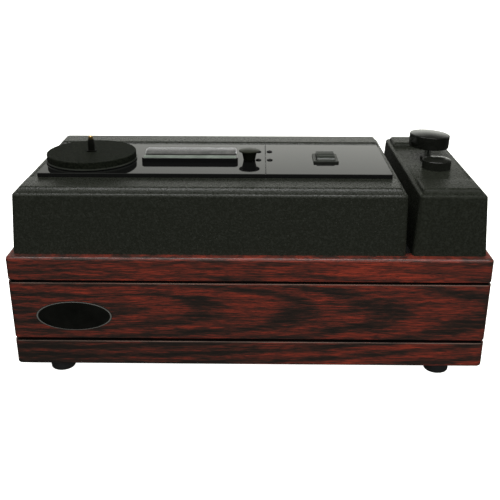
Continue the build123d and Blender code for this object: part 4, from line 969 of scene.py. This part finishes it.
class MACHINE_OT_make_pump(bpy.types.Operator):
    """Finish the pump knob, its rod and the collar"""

    bl_idname = "machine.make_pump"
    bl_label = "Make Pump"

    def execute(self, context):
        gloss = moulded("knob_gloss", (0.0035, 0.0038, 0.0030), 0.11)
        dress(moulded("collar_plastic", (0.006, 0.006, 0.005), 0.45, level=0.2), "pump_collar")
        self.turn_knob(context.scene.pump_settings, gloss)
        chrome = turned_metal("rod_chrome", (0.75, 0.75, 0.76), 0.12, 0.0006, "pump_rod")
        dress(chrome, "pump_rod")
        return {"FINISHED"}

    def turn_knob(self, settings, gloss):
        """A flat turned knob, bored from below for its rod and set askew on it."""
        radius, rim = settings.knob_radius, settings.knob_thickness
        rod_low, rod_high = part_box("pump_rod")
        bore, bore_depth = (rod_high.x - rod_low.x) / 2 + 0.0006, 0.0069
        crown, soft = 0.0009, 0.0006
        profile = [(0.0, bore_depth), (bore, bore_depth), (bore, 0.0)]
        profile += [(radius - 0.0014, 0.0), (radius - 0.0004, 0.0003), (radius, 0.0012)]
        profile += swing((radius - soft, rim - soft), soft, 0, 90, 4)
        profile += dome(radius - soft, rim + crown, crown, 12)
        bm = bmesh.new()
        lathe(bm, profile, (0.0, 0.0), 128)
        lean = Matrix.Rotation(settings.knob_lean, 3, "Y")
        bmesh.ops.rotate(bm, verts=bm.verts, cent=(0, 0, 0), matrix=lean)
        foot = (rod_low + rod_high) / 2
        foot.z = rod_high.z - bore_depth
        bmesh.ops.translate(bm, verts=bm.verts, vec=foot)
        make_piece(bm, "turned_knob", "plunger", gloss, ["pump_knob"])


class MACHINE_OT_make_filler(bpy.types.Operator):
    """Finish the filler cap and its neck"""

    bl_idname = "machine.make_filler"
    bl_label = "Make Filler Cap"

    def execute(self, context):
        self.turn_cap(moulded("cap_gloss", (0.0050, 0.0055, 0.0042), 0.16))
        bottle = moulded("bottle_plastic", (0.62, 0.62, 0.58), 0.4)
        dress(bottle, "filler_neck", "reservoir_bottle")
        return {"FINISHED"}

    def turn_cap(self, gloss):
        """A hollow push-on cap with fine grip ribs and a domed top."""
        low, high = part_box("filler_cap")
        neck_low, neck_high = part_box("filler_neck")
        centre, radius = (low + high) / 2, (high.x - low.x) / 2
        inner = (neck_high.x - neck_low.x) / 2 + 0.0003
        ceiling = max(neck_high.z, low.z) + 0.0004
        rise, chamfer, ribs, rib_depth = 0.0013, 0.0011, 60, 0.00045
        shoulder = high.z - rise - chamfer
        profile = [(0.0, ceiling), (inner, ceiling), (inner, low.z)]
        profile += [(radius, low.z + (shoulder - low.z) * step / 5) for step in range(6)]
        profile += swing((radius - chamfer, shoulder), chamfer, 0, 90, 5)[1:]
        profile += dome(radius - chamfer, high.z, rise, 12)
        bm = bmesh.new()
        lathe(bm, profile, centre, 360)
        for vert in bm.verts:
            out = outward(vert, centre)
            if out.length > radius - 0.0001:
                groove = math.sin(ribs / 2 * math.atan2(out.y, out.x)) ** 2
                vert.co -= out.normalized() * rib_depth * groove
        make_piece(bm, "ribbed_cap", "cap", gloss, ["filler_cap"], sharp=50.0)


class MACHINE_OT_finish_inside(bpy.types.Operator):
    """Finish the hidden works and the fittings on the back"""

    bl_idname = "machine.finish_inside"
    bl_label = "Finish Inside"

    def execute(self, context):
        dress(moulded("tank_plastic", (0.25, 0.26, 0.26), 0.5), "waste_tank", "tank_lid")
        black = moulded("black_moulding", grey(0.012), 0.4)
        dress(black, "suction_duct", "pump_barrel", "pump_piston", "drain_spigot")
        dress(moulded("gland_plastic", grey(0.010), 0.38), "cord_gland", "drain_cap")
        dress(moulded("hose_rubber", grey(0.015), 0.6), "suction_hose", "link_hose")
        dress(moulded("clear_tube", (0.55, 0.55, 0.50), 0.25), "fluid_tube")
        steel = pressed_metal("plated_steel", (0.55, 0.55, 0.56), 0.35)
        dress(steel, "motor_plate")
        self.wind_spring(steel)
        dress(pressed_metal("motor_can", (0.35, 0.35, 0.36), 0.4), "drive_motor")
        dress(pressed_metal("cast_housing", (0.28, 0.28, 0.29), 0.5), "vacuum_motor")
        return {"FINISHED"}

    def wind_spring(self, steel):
        """The pump's return spring, wound as a fixed coil."""
        low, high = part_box("pump_spring")
        wire, turns, per_turn = 0.0009, 6, 28
        centre = (low + high) / 2
        reach = (high.x - low.x) / 2 - wire
        foot, head = low.z + wire, high.z - wire
        bm = bmesh.new()
        section = bmesh.ops.create_circle(bm, cap_ends=True, radius=wire, segments=10)["verts"]
        upright = Matrix.Rotation(math.radians(90), 3, "X")
        bmesh.ops.rotate(bm, verts=section, cent=(0, 0, 0), matrix=upright)
        bmesh.ops.translate(bm, verts=section, vec=(centre.x + reach, centre.y, foot))
        pitch = (0, 0, (head - foot) / (turns * per_turn))
        wind(bm, list(bm.faces), centre, turns, turns * per_turn, dvec=pitch)
        coil = make_piece(bm, "coil_spring", None, steel, ["pump_spring"])
        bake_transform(coil)


# ---- stage
class MACHINE_OT_set_stage(bpy.types.Operator):
    """Lay the pale floor, and set the lights and the camera"""

    bl_idname = "machine.set_stage"
    bl_label = "Set Stage"

    def execute(self, context):
        settings = context.scene.stage_settings
        self.lay_floor(settings.floor_radius)
        self.set_surroundings()
        for name, spot, target, width, depth, mirrored in (
            ("ceiling_light", (0, 0.02, 1.5), (0, 0.02, 0), 1.4, 0.5, True),
            ("top_light", (0, 0, 1.4), (0, 0, 0), 0.9, 0.6, False),
            ("front_light", (0.3, -2.2, 1.0), (0, 0, 0.1), 1.2, 0.9, False),
        ):
            power = getattr(settings, name)
            self.hang_light(name, spot, target, width, depth, power, mirrored)
        self.set_camera(context, settings.focal_length)
        context.scene.view_settings.view_transform = "Standard"
        return {"FINISHED"}

    def lay_floor(self, radius):
        bm = bmesh.new()
        bmesh.ops.create_circle(bm, cap_ends=True, radius=radius, segments=96)
        pale = Finish("floor_paper", Roughness=0.9, Specular_IOR_Level=0.0, Emission_Strength=0.95)
        fibre = pale.noise(60.0)
        pale.set("Base Color", pale.mix(fibre, warm(0.88), warm(0.91)))
        pale.set("Emission Color", (1.0, 1.0, 1.0, 1.0))
        floor = put("floor", mesh_of(bm, "floor", pale.material))
        # The covers and the deck mirror the studio, and the floor lights nothing from below.
        floor.visible_glossy = False
        floor.visible_diffuse = False

    def set_surroundings(self):
        """White low behind the machine, dark above; in front, a dim room with a pale ceiling."""
        world = bpy.data.worlds.new("studio")
        bpy.context.scene.world = world
        world.use_nodes = True
        studio = Nodes(world.node_tree)
        ray = studio.node("ShaderNodeTexCoord")
        across, deep, up = studio.parts(ray)
        # The tent's top edge comes down towards the right.
        lowered = studio.span(across, 0.165, 0.235, 0.0, 0.105)
        tent = ((0.0, 0.05), (0.495, 0.06), (0.505, 1.10), (0.62, 1.10))
        tent += ((0.645, 0.72), (0.67, 0.40), (0.71, 0.05), (1.0, 0.05))
        tent = [(place, warm(level)) for place, level in tent]
        wall = studio.ramp((up + lowered) * 0.5 + 0.5, tent)
        room = [(0.0, warm(0.03)), (0.67, warm(0.05)), (0.77, (0.85, 0.86, 0.84))]
        room += [(0.90, warm(0.90)), (1.0, warm(0.50))]
        front = studio.ramp(up * 0.5 + 0.5, room)
        behind = studio.span(deep, -0.15, 0.20)
        left_end = studio.span(across, -0.30, 0.0, 0.66, 1.0)
        right_end = studio.span(across, 0.30, 0.50, 1.0, 0.60)
        light = studio.mix(behind, front, wall)
        light = studio.mix(left_end * right_end, warm(0.03), light)
        shade = studio.node("ShaderNodeBackground", {}, {"Color": light, "Strength": 1.0})
        studio.node("ShaderNodeOutputWorld", {}, {"Surface": shade})

    def hang_light(self, name, spot, target, width, depth, power, mirrored):
        data = bpy.data.lights.new(name, "AREA")
        data.shape = "RECTANGLE"
        data.size = width
        data.size_y = depth
        data.energy = power
        lamp = put(name, data)
        lamp.location = spot
        lamp.visible_glossy = mirrored
        lamp.rotation_mode = "QUATERNION"
        lamp.rotation_quaternion = (Vector(target) - Vector(spot)).to_track_quat("-Z", "Y")

    def set_camera(self, context, focal_length):
        data = bpy.data.cameras.new("camera")
        data.sensor_width = 36.0
        data.lens = focal_length
        camera = put("camera", data)
        # Where the camera stands, and how it is turned, tipped and rolled, in degrees.
        spot, angles = (0.0090, -0.7596, 0.4007), (-0.707, 22.385, 0.078)
        yaw, pitch, roll = (math.radians(angle) for angle in angles)
        ahead = Vector(
            (math.sin(yaw) * math.cos(pitch), math.cos(yaw) * math.cos(pitch), -math.sin(pitch))
        )
        level = Vector((math.cos(yaw), -math.sin(yaw), 0.0))
        upright = level.cross(ahead)
        right = level * math.cos(roll) + upright * math.sin(roll)
        up = upright * math.cos(roll) - level * math.sin(roll)
        matrix = Matrix((right, up, -ahead)).transposed().to_4x4()
        matrix.translation = Vector(spot)
        camera.matrix_world = matrix
        context.scene.camera = camera


class MACHINE_PT_panel(bpy.types.Panel):
    """Lists the steps that dress the machine"""

    bl_label = "Record Cleaning Machine"
    bl_idname = "MACHINE_PT_panel"
    bl_space_type = "VIEW_3D"
    bl_region_type = "UI"
    bl_category = "Record Cleaner"

    def draw(self, context):
        for operator in OPERATORS:
            self.layout.operator(operator.bl_idname)
        for group in SETTINGS:
            box = self.layout.box()
            for name in group.__annotations__:
                box.prop(getattr(context.scene, SETTINGS[group]), name)


SETTINGS = {
    CabinetSettings: "cabinet_settings",
    CoverSettings: "cover_settings",
    PumpSettings: "pump_settings",
    DeckSettings: "deck_settings",
    StageSettings: "stage_settings",
}
OPERATORS = (
    MACHINE_OT_set_stage,
    MACHINE_OT_finish_cabinet,
    MACHINE_OT_make_covers,
    MACHINE_OT_finish_deck,
    MACHINE_OT_make_platter,
    MACHINE_OT_make_suction_bar,
    MACHINE_OT_make_roller,
    MACHINE_OT_make_switch,
    MACHINE_OT_make_pump,
    MACHINE_OT_make_filler,
    MACHINE_OT_finish_inside,
)


def register():
    for group, name in SETTINGS.items():
        bpy.utils.register_class(group)
        setattr(bpy.types.Scene, name, PointerProperty(type=group))
    for operator in OPERATORS:
        bpy.utils.register_class(operator)
    bpy.utils.register_class(MACHINE_PT_panel)


def unregister():
    bpy.utils.unregister_class(MACHINE_PT_panel)
    for operator in reversed(OPERATORS):
        bpy.utils.unregister_class(operator)
    for group, name in SETTINGS.items():
        delattr(bpy.types.Scene, name)
        bpy.utils.unregister_class(group)


def main():
    register()
    for operator in OPERATORS:
        group, name = operator.bl_idname.split(".")
        getattr(getattr(bpy.ops, group), name)()


if __name__ == "__main__":
    main()
